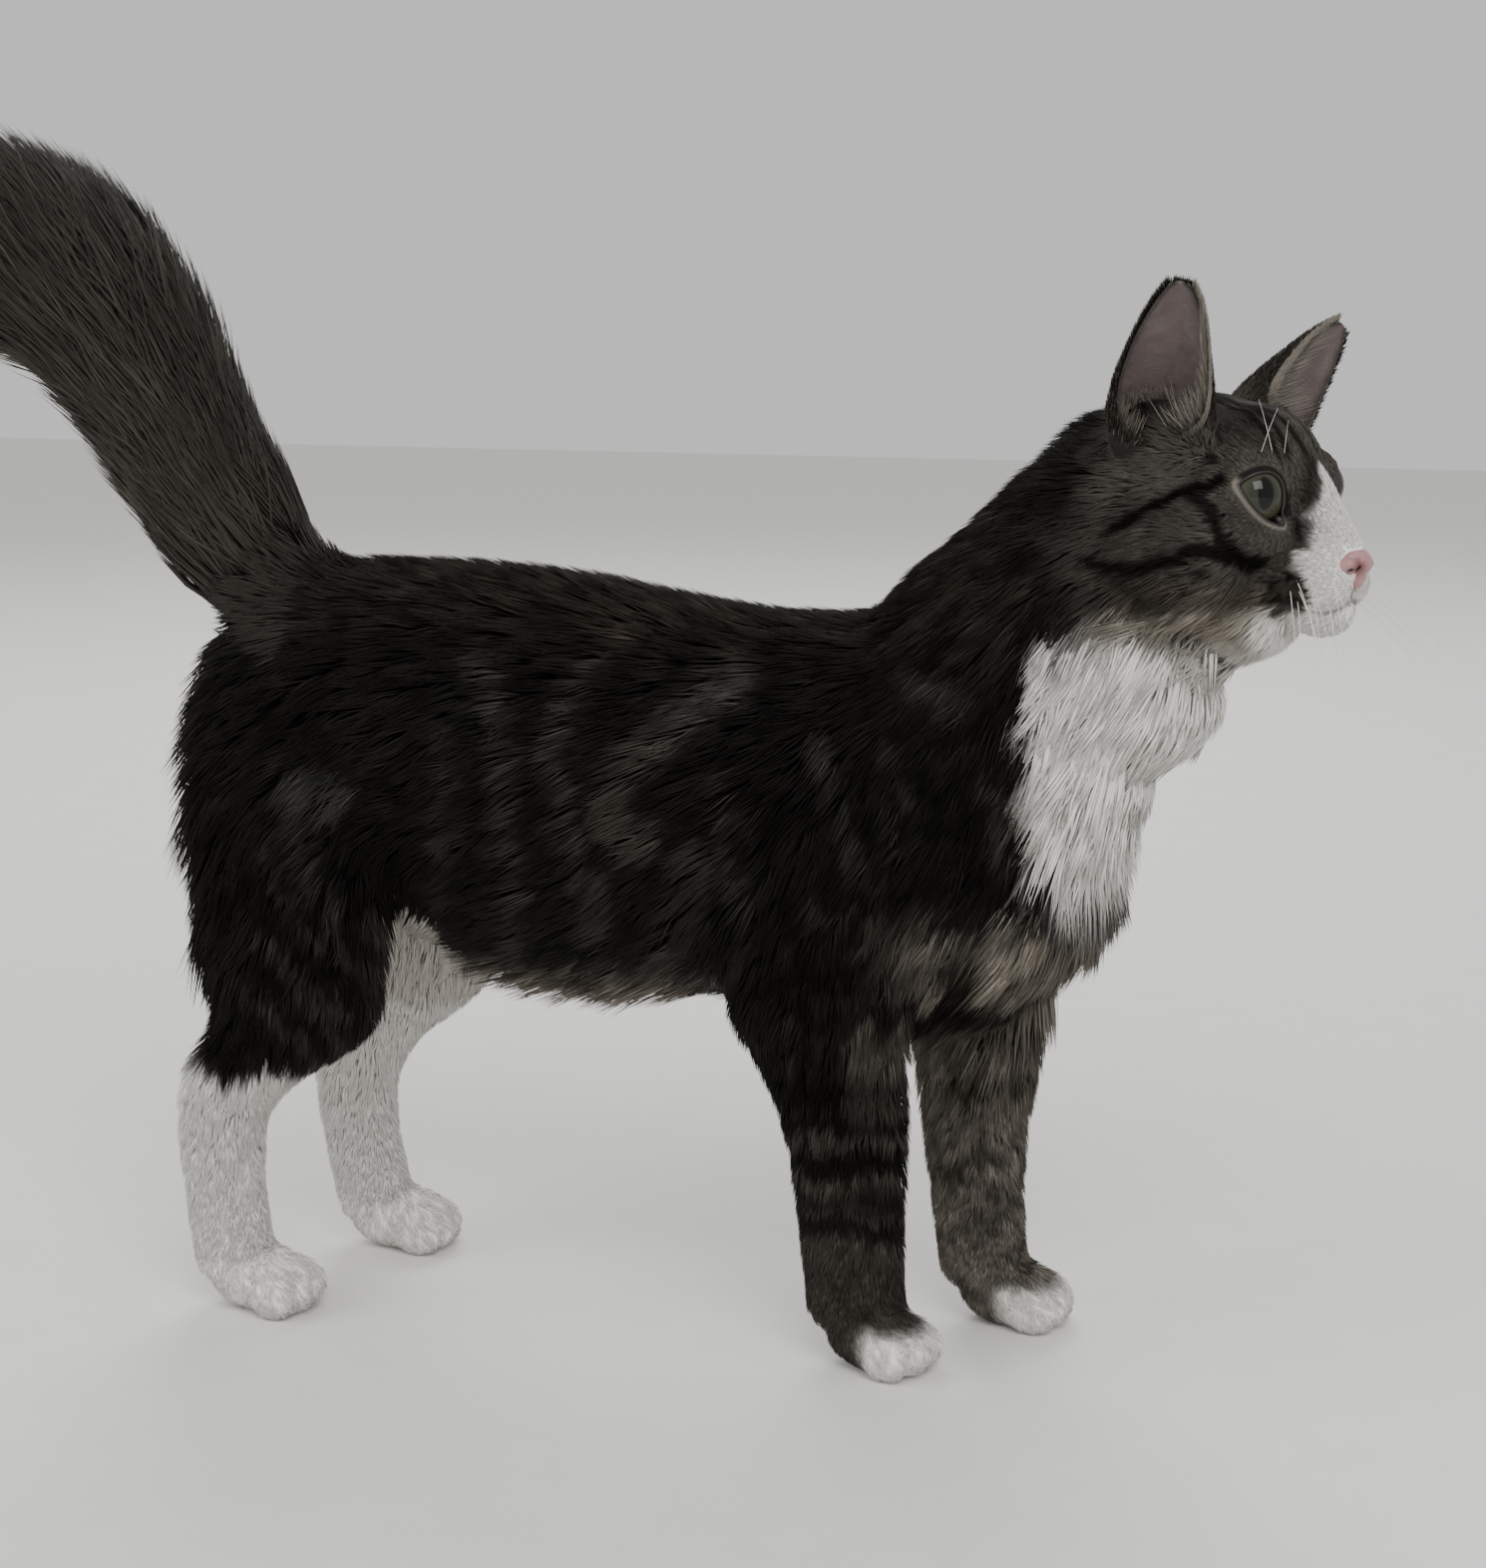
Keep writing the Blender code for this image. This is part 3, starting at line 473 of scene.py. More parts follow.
def on_head(points):
    """Points of the head's own frame in the cat's own frame."""
    return HEAD_CENTRE + np.asarray(points, float) @ HEAD_TURN.T


def from_head(points):
    return (np.asarray(points, float) - HEAD_CENTRE) @ HEAD_TURN


def eye_turn(side):
    """The frame of one eye: x out of the lids, y across them, z up."""
    return turned(HEAD_YAW + math.radians(side * EYE_TURN), math.radians(side * EYE_TILT))


def eye_place(side):
    return on_head((EYE_CENTRE[0], side * EYE_CENTRE[1], EYE_CENTRE[2]))


def lid_line(side, steps=4):
    """The edge of one eye's lids as places across and up in the eye's frame, turning from across to up."""
    run = spline(LID_LINE[-2:] + LID_LINE + LID_LINE[:3], steps)[2 * steps:(2 + len(LID_LINE)) * steps]
    return run[::-1] if side == RIGHT else run * (-1, 1)


def line_rings(rows, steps):
    """Rings across a bent centre line of rows x, y, z, radius."""
    run = spline(rows, steps)
    along = unit(np.gradient(run[:, :3], axis=0))
    across = unit(np.cross((0.0, 1.0, 0.0), along))
    return [(p[:3], np.cross(a, c) * p[3], c * p[3]) for p, a, c in zip(run, along, across)]


def neck_rings(steps):
    run = spline(NECK_RINGS, steps)
    along = unit(np.gradient(run[:, :2], axis=0))
    foot = NECK_RINGS[0][1]
    sway = HEAD_CENTRE[1] * np.maximum(0.0, (run[:, 1] - foot) / (HEAD_CENTRE[2] - foot))
    return [
        (np.array((x, s, z)), np.array((0, wide, 0)), np.array((-a[1], 0, a[0])) * deep)
        for (x, z, deep, wide), a, s in zip(run, along, sway)
    ]


def leg_rings(rows, side):
    return [
        (np.array((x, side * y, z)), np.array((0, wide, 0)), np.array((deep, 0, 0)))
        for x, y, z, deep, wide in spline(rows, 4)
    ]


def paw_forms(ankle, heading, length):
    """The pad of a paw and its four toes."""
    turn, base = turned(math.radians(heading)), np.array((*ankle, 0.0))
    forms = [ball(base + turn @ (length * 0.16, 0, 10.3), (length * 0.445, 13.4, 10.9), turn)]
    for k in range(4):
        spread = k - 1.5
        lead = length * (0.475 - 0.06 * abs(spread))
        forms.append(ball(base + turn @ (lead, spread * 7.2, 7.6), (9.0, 4.4, 7.6), turn))
    return forms


def skin_forms():
    torso = [
        (np.array((x, 0, (top + low) / 2)), np.array((0, width, 0)), np.array((0, 0, (top - low) / 2)))
        for x, top, low, width in spline(TORSO_RINGS, 4)
    ]
    forms = [loft(torso, 48), loft(neck_rings(4), 48), loft(domed(line_rings(TAIL_RINGS, 4)), 32)]
    forms += [loft(leg_rings(rows, side), 32) for name, rows, side in LEGS]
    forms += [ball(*row) for row in BODY_FORMS]
    for name, ankle, heading, length in PAWS:
        forms += paw_forms(ankle, heading, length)
    for (x, y, z), radii, both in HEAD_FORMS:
        for side in ((RIGHT, LEFT) if both else (LEFT,)):
            forms.append(ball(on_head((x, side * y, z)), radii, HEAD_TURN))
    wide, high = HEAD_TURN @ (0, 1, 0), HEAD_TURN @ (0.7, 0, 0.7)
    bridge = [(on_head(row[:3]), wide * row[3], high * row[4]) for row in spline(NOSE_BRIDGE, 3)]
    return forms + [loft(domed(bridge))]


def mesh_points(data):
    """The points of a mesh in the cat's own frame, in millimetres."""
    points = np.empty(len(data.vertices) * 3)
    data.vertices.foreach_get("co", points)
    return points.reshape(-1, 3) / MM - MIDDLE


def soften_body(item):
    """Smooths the body more than the head and paws, whose forms are small."""
    points = mesh_points(item.data)
    away = np.linalg.norm(points - HEAD_CENTRE, axis=1)
    weight = np.clip((away - 45) / 25, 0, 1) * np.clip((points[:, 2] - 25) / 20, 0, 1)
    group = item.vertex_groups.new(name="body")
    for level in range(1, 9):
        chosen = np.flatnonzero(np.round(weight * 8) == level)
        group.add(chosen.tolist(), level / 8, "REPLACE")
    smooth = item.modifiers.new("smooth", "SMOOTH")
    smooth.factor = 0.5
    smooth.iterations = BODY_SMOOTHING
    smooth.vertex_group = group.name
    return worked(item)


def finer_face(item):
    """Divides the faces round the eyes, nose and mouth, and rounds them."""
    work = bmesh.new()
    work.from_mesh(item.data)
    place = from_head(mesh_points(item.data))
    wide = place * (1, 0, 1) + np.abs(place) * (0, 1, 0)
    near = np.linalg.norm(wide - EYE_CENTRE, axis=1) < FINE_EYE
    near |= np.linalg.norm(place - MUZZLE_MIDDLE, axis=1) < FINE_MUZZLE
    work.verts.ensure_lookup_table()
    edges = [e for e in work.edges if near[e.verts[0].index] and near[e.verts[1].index]]
    done = bmesh.ops.subdivide_edges(work, edges=edges, cuts=1, use_grid_fill=True)
    fresh = [e for e in done["geom_inner"] if isinstance(e, bmesh.types.BMVert)]
    for _ in range(2):
        bmesh.ops.smooth_vert(work, verts=fresh, factor=0.5, use_axis_x=True, use_axis_y=True,
                              use_axis_z=True)
    work.to_mesh(item.data)
    work.free()
    return item


def way_distance(points, way):
    """How far points are from a bent line, in three dimensions."""
    nearest = np.full(len(points), 1e9)
    for a, b in zip(way[:-1], way[1:]):
        run = b - a
        share = np.clip(((points - a) @ run) / max(run @ run, 1e-9), 0, 1)
        nearest = np.minimum(nearest, np.linalg.norm(points - a - share[:, None] * run, axis=1))
    return nearest


def mouth_ways(item):
    """The line of the lips on the skin, on each side."""
    points = mesh_points(item.data)
    finder = KDTree(len(points))
    for i, point in enumerate(points.tolist()):
        finder.insert(point, i)
    finder.balance()
    return [np.array([finder.find(on_head((x, side * y, z)))[0] for x, y, z in spline(MOUTH_WAY, 4)])
            for side in (RIGHT, LEFT)]


def press_mouth(item):
    """Presses the line of the lips into the skin."""
    points = mesh_points(item.data)
    normals = np.empty(len(points) * 3)
    item.data.vertices.foreach_get("normal", normals)
    near = np.minimum.reduce([way_distance(points, way) for way in MOUTH_LINES])
    points -= normals.reshape(-1, 3) * (MOUTH_DEPTH * np.exp(-(near / MOUTH_RADIUS) ** 2))[:, None]
    item.data.vertices.foreach_set("co", in_row(points).reshape(-1))
    item.data.update()


skin = finer_face(soften_body(melted(mesh_of("skin", skin_forms()), SKIN_VOXEL, SKIN_SMOOTHING)))
MOUTH_LINES = mouth_ways(skin)
press_mouth(skin)
whole_skin = BVHTree.FromPolygons([v.co[:] for v in skin.data.vertices],
                                  [f.vertices[:] for f in skin.data.polygons])
# The edge of the lids on the skin, by side
lid_edges = {}
for side in (RIGHT, LEFT):
    almond, turn, middle = lid_line(side), eye_turn(side), eye_place(side)
    edge = []
    for across, up in almond:
        start = middle + turn @ (LID_REACH[1], across, up)
        hit = whole_skin.ray_cast(Vector(in_row(start)), Vector(-turn[:, 0]))[0]
        edge.append(np.array(hit) / MM - MIDDLE)
    lid_edges[side] = np.array(edge)
    count = len(almond)
    faces = [(k, (k + 1) % count, count + (k + 1) % count, count + k) for k in range(count)]
    faces += [tuple(range(count))[::-1], tuple(range(count, 2 * count))]
    prism = np.array([(deep, across, up) for deep in LID_REACH for across, up in almond])
    cut(skin, mesh_of("opening", [(middle + prism @ turn.T, faces)]))
    cut(skin, mesh_of("socket", [ball(middle, (EYE_RADIUS + SOCKET_ROOM,) * 3, turn, 40, 24)]))


# The markings, which skin and coat share. Each is a field over the body: a ragged band round a line drawn on
# the flank, or a soft patch round a point. The right side is the one that the sizes were read from, and the
# left has the same lines, moved a little by the noise.
# Bands on the flank: width, how light, points x and z
FLANK_BANDS = (
    (8, 0.55, (-84, 215), (-84, 190), (-87, 170), (-87, 150), (-83, 135)),
    (10, 0.9, (-70, 237), (-66, 219), (-66, 206), (-64, 192), (-61, 168), (-60, 148), (-60, 130)),
    (9, 0.9, (-21, 254), (-24, 242), (-33, 236), (-42, 224), (-47, 209), (-44, 193), (-38, 175), (-32, 160),
     (-33, 143), (-28, 130)),
    (17, 0.95, (15, 236), (3, 224), (-10, 214), (-22, 204), (-26, 190), (-20, 180)),
    (14, 0.7, (2, 175), (-3, 160), (-6, 150), (-10, 143)),
    (5, 0.8, (10, 205), (13, 185), (14, 170), (17, 155), (15, 140)),
    (6, 0.9, (43, 214), (47, 198), (50, 190), (55, 178), (62, 172)),
    (7, 0.9, (61, 222), (69, 213), (73, 203)),
    (5, 0.9, (66, 195), (70, 185)),
    (10, 0.8, (76, 241), (91, 233)),
    (8, 0.9, (98, 207), (103, 200), (106, 190)),
    (7, 0.7, (77, 173), (88, 155), (95, 150)),
    (8, 0.6, (38, 163), (48, 160)),
    (7, 0.8, (-144, 200), (-144, 185), (-142, 175), (-137, 165), (-133, 155), (-128, 148)),
    (5, 0.8, (-150, 172), (-148, 160), (-146, 150), (-138, 143)),
    (5, 1.0, (-155, 140), (-145, 130), (-135, 122), (-125, 113)),
    (5, 1.0, (-135, 140), (-120, 133), (-108, 128)),
    (5, 1.0, (-145, 122), (-135, 112), (-125, 100)),
    (5, 1.0, (-160, 118), (-150, 108), (-140, 98), (-135, 92)),
    (6, 1.0, (-115, 145), (-108, 140), (-107, 125), (-110, 110)),
)
# A bluish patch on the thigh: centre x and z, half width, half height
BLUE_PATCH = (-130, 190, 12, 9)
# Where the eye stood that the places of the marks were read from
READ_FROM = np.array(VIEW_AIM) - ahead * VIEW_DISTANCE
# How far to the side the planes lie on which the marks of body, legs, face and tail were read
BODY_ASIDE, LEG_ASIDE, FACE_ASIDE, TAIL_ASIDE = 50, 28, 22, 0
# Dark spots under the breast: x, z, radius
CHEST_SPOTS = ((70, 121, 7), (90, 145, 7), (108, 125, 8))
# The tail's black line, and the line of its pale lower edge, partly the underside's own paler hair and partly
# painted light on it: x, z
TAIL_STRIPE = ((-172, 286), (-180, 300), (-185, 310), (-200, 325), (-215, 335), (-235, 350), (-250, 370),
               (-262, 385), (-275, 396))
TAIL_LIT_UNDERSIDE = ((-300, 330), (-262, 306), (-243, 284), (-228, 268))
# Leg bands: height, half height and how dark, on the forelegs
LEG_BANDS = ((96, 7, 1.0), (84, 4, 1.0), (70, 4.5, 0.95), (57, 3, 0.7), (48, 3.5, 0.8))
# Lines on the face, in the head's own frame seen from its side: width, how dark, points x and z
FACE_LINES = (
    (3.4, 1.0, (13.5, 12.5), (7.5, 10), (1.5, 7.5), (-5.5, 5), (-12.5, 1), (-20, -3.5), (-25, -5.5)),
    (4.6, 0.9, (5, 6.5), (10, 3), (13, -3.5), (17, -8), (21, -11), (25, -14)),
    (4.6, 0.95, (28, -12), (21, -12), (14.5, -10.5), (8.5, -9.5), (3.5, -10.5), (-1.5, -13.5), (-9, -15.5),
     (-16, -17.5), (-25, -16), (-31, -15.5)),
    (4.5, 0.5, (-21, -21), (-14, -23.5), (-7, -27), (0.5, -29)),
    (3.0, 0.8, (9, -16.5), (7, -17.5)),
    (3.0, 0.8, (11.5, 17.5), (9.0, 19.0)),
)
# Fine lines over the crown: how far aside they are, and how far they turn out behind
CROWN_LINES = ((13, 0.35), (9, 0.35), (4, 0.0))
# Dark roots of the whiskers, in the same places as the face's lines
PAD_SPOTS = ((31.9, -19.4), (37.8, -15.6), (40.4, -14.8), (42.2, -18.3), (34.4, -22.9), (39.1, -23.1),
             (43.0, -23.3), (39.9, -27.0), (32.2, -27.6), (35.2, -26.8))
# The blaze: heights on the head, and half its width there
BLAZE = ((-12, 13.5), (-8, 11.5), (-4, 10.2), (0, 8.4), (5.5, 6.3), (10, 3.6), (15, 1.2), (17.5, -1.0))
# The edge of the white muzzle: height, place ahead
MUZZLE_EDGE = ((-16, 42.5), (-13, 39.0), (-8, 38.5), (-7, 42.0))


def grain(points, size, seed):
    """Smooth noise between -1 and 1, in lumps of about a size."""
    lattice = np.random.default_rng(seed).uniform(-1, 1, (32, 32, 32))
    place = points / size + seed * 5.37
    cell = np.floor(place).astype(int)
    part = place - cell
    part = part * part * (3 - 2 * part)
    total = np.zeros(len(points))
    for corner in np.ndindex(2, 2, 2):
        share = np.prod(np.where(corner, part, 1 - part), axis=1)
        total += share * lattice[tuple(((cell + corner) & 31).T)]
    return total


def step(value, low, high):
    """0 below low, 1 above high and a smooth rise between; the other way round if low is above high."""
    part = np.clip((value - low) / (high - low), 0, 1)
    return part * part * (3 - 2 * part)


def line_distance(flat, line):
    """How far each flat point is from a run of straight pieces, with the ends rounded."""
    nearest = np.full(len(flat), 1e9)
    for a, b in zip(np.array(line[:-1], float), np.array(line[1:], float)):
        run = b - a
        share = np.clip(((flat - a) @ run) / (run @ run), 0, 1)
        nearest = np.minimum(nearest, np.linalg.norm(flat - a - share[:, None] * run, axis=1))
    return nearest


def band(flat, line, width, soft):
    return step(line_distance(flat, line), width / 2 + soft, width / 2 - soft)


def patch(flat, place, size, outer, inner):
    """1 in an oval patch, fading to 0 between its inner and outer edge."""
    return step(np.hypot(*((flat - place) / size).T), outer, inner)


def read_through(points, eye, aside):
    """Where a line from the reading eye through each point meets a plane so far aside: along and up."""
    flat = points * (1, 0, 1) - np.abs(points) * (0, 1, 0)
    share = (-aside - flat[:, 1]) / (eye[1] - flat[:, 1])
    return (flat + share[:, None] * (eye - flat))[:, ::2]


def markings(points):
    """How light, warm, pale and white the coat is at points of the cat's own frame, from 0 to 1."""
    x, y, z = points.T
    side = np.sign(y + 1e-6)
    wobble = np.stack((grain(points * (1, 0.4, 1), 9, 1), grain(points * (1, 0.4, 1), 9, 2)), 1)
    wobble += 0.5 * np.stack((grain(points, 4, 3), grain(points, 4, 4)), 1)
    wobble *= np.where(side < 0, 2.4, 4.5)[:, None]

    flat = read_through(points, READ_FROM, BODY_ASIDE) + wobble
    mottle = np.clip(1.2 * grain(points, 5, 5) + 0.7 * grain(points, 2.5, 6), -1, 1)
    light = 0.03 + 0.04 * mottle
    warm = 0.25 + 0.2 * grain(points, 30, 7)
    pale = np.zeros(len(points))
    white = np.zeros(len(points))

    flank = step(np.abs(y), 8, 20)
    for width, strength, *line in FLANK_BANDS:
        light = np.maximum(light, flank * strength * (0.24 + 0.15 * mottle) * band(flat, line, 0.9 * width, 3.4))
    back = step(z, 232, 250) * step(x, -185, -160) * step(x, 118, 100)
    light = np.maximum(light, back * (0.09 + 0.10 * mottle))
    warm = np.where(back > 0.3, 0.6 + 0.3 * grain(points, 25, 8), warm)
    bluish = patch(flat, BLUE_PATCH[:2], BLUE_PATCH[2:], 1.3, 0.7)
    light = np.maximum(light, bluish * flank * (0.30 + 0.14 * mottle))
    warm = warm * (1 - bluish)
    haunch_rear = step(x, -176, -192) * step(z, 100, 125) * step(z, 245, 225)
    light = np.maximum(light, haunch_rear * (0.15 + 0.14 * mottle))
    warm = np.maximum(warm, haunch_rear * 0.8)
    belly = step(z, 136, 122) * step(x, 10, -20) * step(x, -125, -105)
    light = np.maximum(light, belly * (0.45 + 0.25 * mottle))
    fringe = step(z, 120, 110) * step(x, 0, -60)
    pale = np.maximum(pale, belly * (0.22 + 0.25 * mottle) + 0.4 * belly * fringe)
    warm = np.maximum(warm, belly * 0.75)

    ragged = points + 3 * np.stack((wobble[:, 0], np.zeros(len(points)), wobble[:, 1]), 1)
    chest = step(ragged[:, 0], 50, 78) * step(ragged[:, 2], 172, 148) * step(z, 92, 116)
    light = np.maximum(light, chest * (0.64 + 0.35 * mottle))
    pale = np.maximum(pale, chest * (0.22 + 0.26 * mottle))
    warm = np.maximum(warm, chest * 0.5)
    for spot_x, spot_z, radius in CHEST_SPOTS:
        spot = step(np.hypot(flat[:, 0] - spot_x, flat[:, 1] - spot_z), radius * 1.3, radius * 0.6)
        light, pale = light * (1 - 0.8 * spot), pale * (1 - spot)
    small = np.clip(wobble, -2, 2)
    front = 103 + 0.25 * np.maximum(0, 188 - z) + 0.22 * np.maximum(0, z - 228) + 2.5 * small[:, 0]
    wide_bib = 40 * step(z, 200, 232)
    bib = step(x, front, front + 6) * step(z + 4 * wobble[:, 1], 160, 176)
    bib *= step(np.abs(y + 3), 38 + wide_bib, 29 + wide_bib)
    bib *= step(z + 2 * small[:, 1] + 0.3 * np.abs(y), 268, 252)
    white = np.maximum(white, bib)

    fore = (x > 0) & (z < 132)
    near = fore & (y < 0)
    far = fore & (y >= 0)
    rings = np.ones(len(points))
    leg = read_through(points, READ_FROM, LEG_ASIDE) + wobble
    for height, half, dark in LEG_BANDS:
        rings *= 1 - dark * step(np.abs(leg[:, 1] - height), half + 2.0, half - 1.5)
    inner_front = step(x, 46, 54) * step(z, 126, 116)
    upper = 0.05 + 0.06 * mottle + inner_front * (0.28 + 0.1 * mottle)
    lower = np.where(z > 40, rings * (0.36 + 0.16 * mottle), 0.36 + 0.12 * mottle)
    light = np.where(near, np.where(z > 104, upper, lower), light)
    pale = np.where(near, inner_front * 0.07 * step(z, 84, 92), pale)
    far_light = 0.72 + 0.22 * mottle - 0.66 * step(np.abs(leg[:, 1] - 92), 9, 4) * step(x, 66, 76)
    far_light -= 0.6 * step(np.hypot(x - 75, z - 57), 10, 5)
    light = np.where(far, far_light, light)
    pale = np.where(far, 0.12 + 0.16 * mottle, pale)
    warm = np.where(fore, 0.4, warm)
    hind = (x < -100) & (z < 100)
    sock = step(z + 2.5 * wobble[:, 0], 92, 84) * (x < -100)
    inside = (x < -100) & (z < 150) & (np.abs(y) < np.where(y > 0, 37, 30))
    white = np.where(hind, np.maximum(white, sock * 0.98), white)
    pale = np.where(inside & ~hind, 0.8, pale)
    white = np.where(inside & ~hind, 0.45, white)
    light = np.where(inside & ~hind, 1.0, light)
    white = np.where(inside & hind, np.maximum(white, 0.9), white)
    toes = step(z, 18, 12) * (x > 0) * step(x, np.where(y < 0, 50, 84), np.where(y < 0, 58, 92))
    white = np.maximum(white, toes)

    tail = (z > 236 - 0.4 * (x + 167)) & (x < -150)
    seen = read_through(points, READ_FROM, TAIL_ASIDE) + wobble
    stripe = step(line_distance(seen, TAIL_STRIPE), 16.0, 9.0)
    tip = step(x, -290, -330)
    tail_light = (0.045 + 0.05 * mottle) * (1 - 0.8 * stripe) * (1 - 0.3 * tip) * step(x, -172, -196)
    # The lower edge of the tail is painted lighter: partly its own paler underside, and partly painted light on
    # it.
    under = step(line_distance(seen, TAIL_LIT_UNDERSIDE), 22.0, 6.0)
    tail_light = np.maximum(tail_light, under * (0.42 + 0.14 * mottle))
    light = np.where(tail, tail_light, light)
    warm = np.where(tail, 0.35, warm)
    pale = np.where(tail, 0.08, pale)
    white = np.where(tail, 0.0, white)
    return face_markings(points, np.stack((light, warm, pale, white), 1), mottle)


def eye_reach(points):
    """How far points lie outside the nearer eye's lids, how high over their middle, and the way out."""
    gap, height, way = np.full(len(points), 99.0), np.zeros(len(points)), np.zeros((len(points), 3))
    for side in (RIGHT, LEFT):
        turn, middle = eye_turn(side), np.array((-side * LID_MIDDLE[0], LID_MIDDLE[1]))
        local = (points - eye_place(side)) @ turn
        mine = (local[:, 0] > 0) & (np.linalg.norm(local, axis=1) < 24)
        edge, flat = lid_line(side) - middle, local[mine, 1:] - middle
        reach = np.interp(np.arctan2(flat[:, 1], flat[:, 0]), np.arctan2(edge[:, 1], edge[:, 0]),
                          np.linalg.norm(edge, axis=1), period=2 * math.pi)
        gap[mine] = np.linalg.norm(flat, axis=1) - reach
        height[mine] = flat[:, 1]
        way[mine] = unit(np.concatenate((np.zeros((len(flat), 1)), flat), 1)) @ turn.T
    return gap, height, way


def face_markings(points, body, mottle):
    """Lays the markings of the head over those of the body."""
    place = from_head(points)
    wide = np.abs(place[:, 1])
    x, z = place[:, 0], place[:, 2]
    wobble = np.stack((grain(points, 3.5, 11), grain(points, 3.5, 12)), 1)
    flat = read_through(place, from_head(READ_FROM), FACE_ASIDE) + wobble * 0.8
    seen_x, seen_z = flat.T
    light = 0.56 + 0.10 * mottle + 0.10 * grain(points, 9, 13)
    light *= 1 - 0.38 * step(seen_x, 8, -6) * step(seen_z, 10, 0)
    warm = np.full(len(points), 0.3)
    pale = np.zeros(len(points))
    between = step(line_distance(flat, ((-20, -11), (-5, -5), (3, -3))), 8, 3)
    light = np.maximum(light, 0.44 * between)
    low_cheek = step(seen_z, -15, -22) * step(seen_x, -38, -20)
    light = np.maximum(light, low_cheek * (0.42 + 0.12 * mottle))
    warm = np.maximum(warm, low_cheek * 0.6)
    jaw = step(seen_z - 0.13 * seen_x, -25.5, -33.0) * step(seen_x, -46, -34)
    pale = np.maximum(pale, jaw * (0.62 + 0.12 * mottle))
    light = np.maximum(light, jaw * 0.8)
    crown = step(z, 20, 28) * step(x, 26, 16)
    light *= 1 - crown * (0.35 - 0.15 * mottle)
    for aside, turn in CROWN_LINES:
        away = np.abs(wide - (aside - turn * np.clip(24 - x, -8, 20)) + 0.8 * wobble[:, 0])
        light *= 1 - 0.8 * step(away, 1.9, 0.6) * step(z, 15, 21) * step(x, -20, -8)
    behind = step(x, -20, -32) * step(seen_z, -14, 2)
    light *= 1 - 0.93 * behind
    cheeks = step(wide, 11, 16)
    for width, strength, *line in FACE_LINES:
        mark = strength * cheeks * band(flat, line, width, 1.0)
        light *= 1 - mark
        pale *= 1 - mark
    pad = patch(flat, (36.5, -22.3), (7.8, 7.4), 1.12, 0.9) * step(wide, 7, 11)
    pad_spots = np.minimum.reduce([np.hypot(seen_x - a, seen_z - b) for a, b in PAD_SPOTS])
    corner = patch(flat, (41.8, -0.8), (1, 1), 4.8, 2.2) * step(wide, 5, 9)
    read_side = step(place[:, 1], 4, -4)
    bridge = patch(flat, (43.4, 12), (2.2, 9.0), 1.3, 0.7) * read_side
    inner = patch(flat, (35.6, 6), (2.0, 4.5), 1.3, 0.7) * cheeks * read_side
    light *= (1 - pad * (0.35 + 0.6 * step(pad_spots, 2.4, 1.2))) * (1 - 0.85 * corner)
    light *= (1 - 0.55 * bridge) * (1 - 0.8 * inner)
    pale *= 1 - 0.9 * pad
    blaze_half = np.interp(z, *np.array(BLAZE, float).T)
    white = step(wide + 0.7 * wobble[:, 0], blaze_half + 1.1, blaze_half - 0.9) * step(x, 18, 22)
    edge = np.interp(seen_z, *np.array(MUZZLE_EDGE).T) + 0.8 * wobble[:, 1]
    muzzle = step(seen_x, edge - 1.2, edge + 1.2) * step(seen_z, -6.6, -8.4) * step(x, 20, 24)
    white = np.maximum(white, muzzle)
    throat = 0.85 * step(seen_z + 0.6 * wobble[:, 1], -34, -46) * step(seen_x, -50, -38)
    chin = step(z, -26, -31) * step(x, 18, 26)
    white = np.maximum.reduce((white, throat, chin)) * (1 - 0.97 * pad) * (1 - 0.8 * corner)
    gap, height, _ = eye_reach(points)
    below = step(height, 0.5, -2.5)
    lash = step(gap, 2.0 - 1.5 * below, 1.0 - 0.8 * below) * (0.3 + 0.7 * read_side)
    under = step(gap, 1.35, 0.9) * below
    light = np.maximum(light * (1 - 0.9 * lash), 0.75 * under)
    pale = np.maximum(pale * (1 - lash), 0.34 * under) * (1 - 0.8 * lash)
    lips = np.minimum.reduce([way_distance(points, way) for way in MOUTH_LINES])
    line = step(lips, 1.2, 0.6)
    white *= 1 - 0.5 * line
    pale *= 1 - 0.5 * line
    light *= 1 - 0.6 * line
    head = np.stack((light, warm, pale, white), 1)
    share = step((points - (124, 0, 268)) @ unit((0.80, -0.15, 0.56)), -6, 6)[:, None]
    return np.clip(body * (1 - share) + head * share, 0, 1)


MARKS = ("light", "warm", "pale", "white")


def store(data, name, values):
    data.attributes.new(name, "FLOAT", "POINT").data.foreach_set("value", np.asarray(values, np.float32))


# Colours of the coat: black, grey, warm black, warm grey, cream, white
BLACK, GREY = (0.0027, 0.0025, 0.0023, 1.0), (0.150, 0.145, 0.132, 1.0)
WARM_BLACK, WARM_GREY = (0.0058, 0.0038, 0.0024, 1.0), (0.145, 0.112, 0.080, 1.0)
CREAM, WHITE = (0.46, 0.42, 0.35, 1.0), (0.86, 0.84, 0.80, 1.0)


def coat_finish(name, hairs):
    """Fur: black to grey by the light mark, with brown, cream and white over it, each hair a little apart."""
    made, shader, wire = finish_of(name, 0.7, Specular_IOR_Level=0.09)
    light, warm, pale, white = (wire.mark(mark) for mark in MARKS)
    speck = wire.noise(900.0, 2.0)
    cool, brown = (wire.node("ShaderNodeMix", {"data_type": "RGBA"}, 2, _0=light, _6=dark, _7=bright)
                   for dark, bright in ((BLACK, GREY), (WARM_BLACK, WARM_GREY)))
    tone = cool.mixed(brown, warm).mixed(CREAM, pale).mixed(WHITE, white)
    if hairs:
        streak = (1 - white * 0.82) * (wire.mark("chance") - 0.5)
        along = 0.82 + 0.22 * wire.mark("along")
        tone = tone.shaded(along * (1 + 0.38 * streak) * (0.86 + 0.28 * speck))
    else:
        tone = tone.shaded((0.60 + 0.20 * speck) + 0.34 * white)
        feed(wire.bump(wire.noise(1400.0, 3.0), 0.5, 0.0006), shader, "Normal")
    feed(tone, shader, "Base Color")
    return made


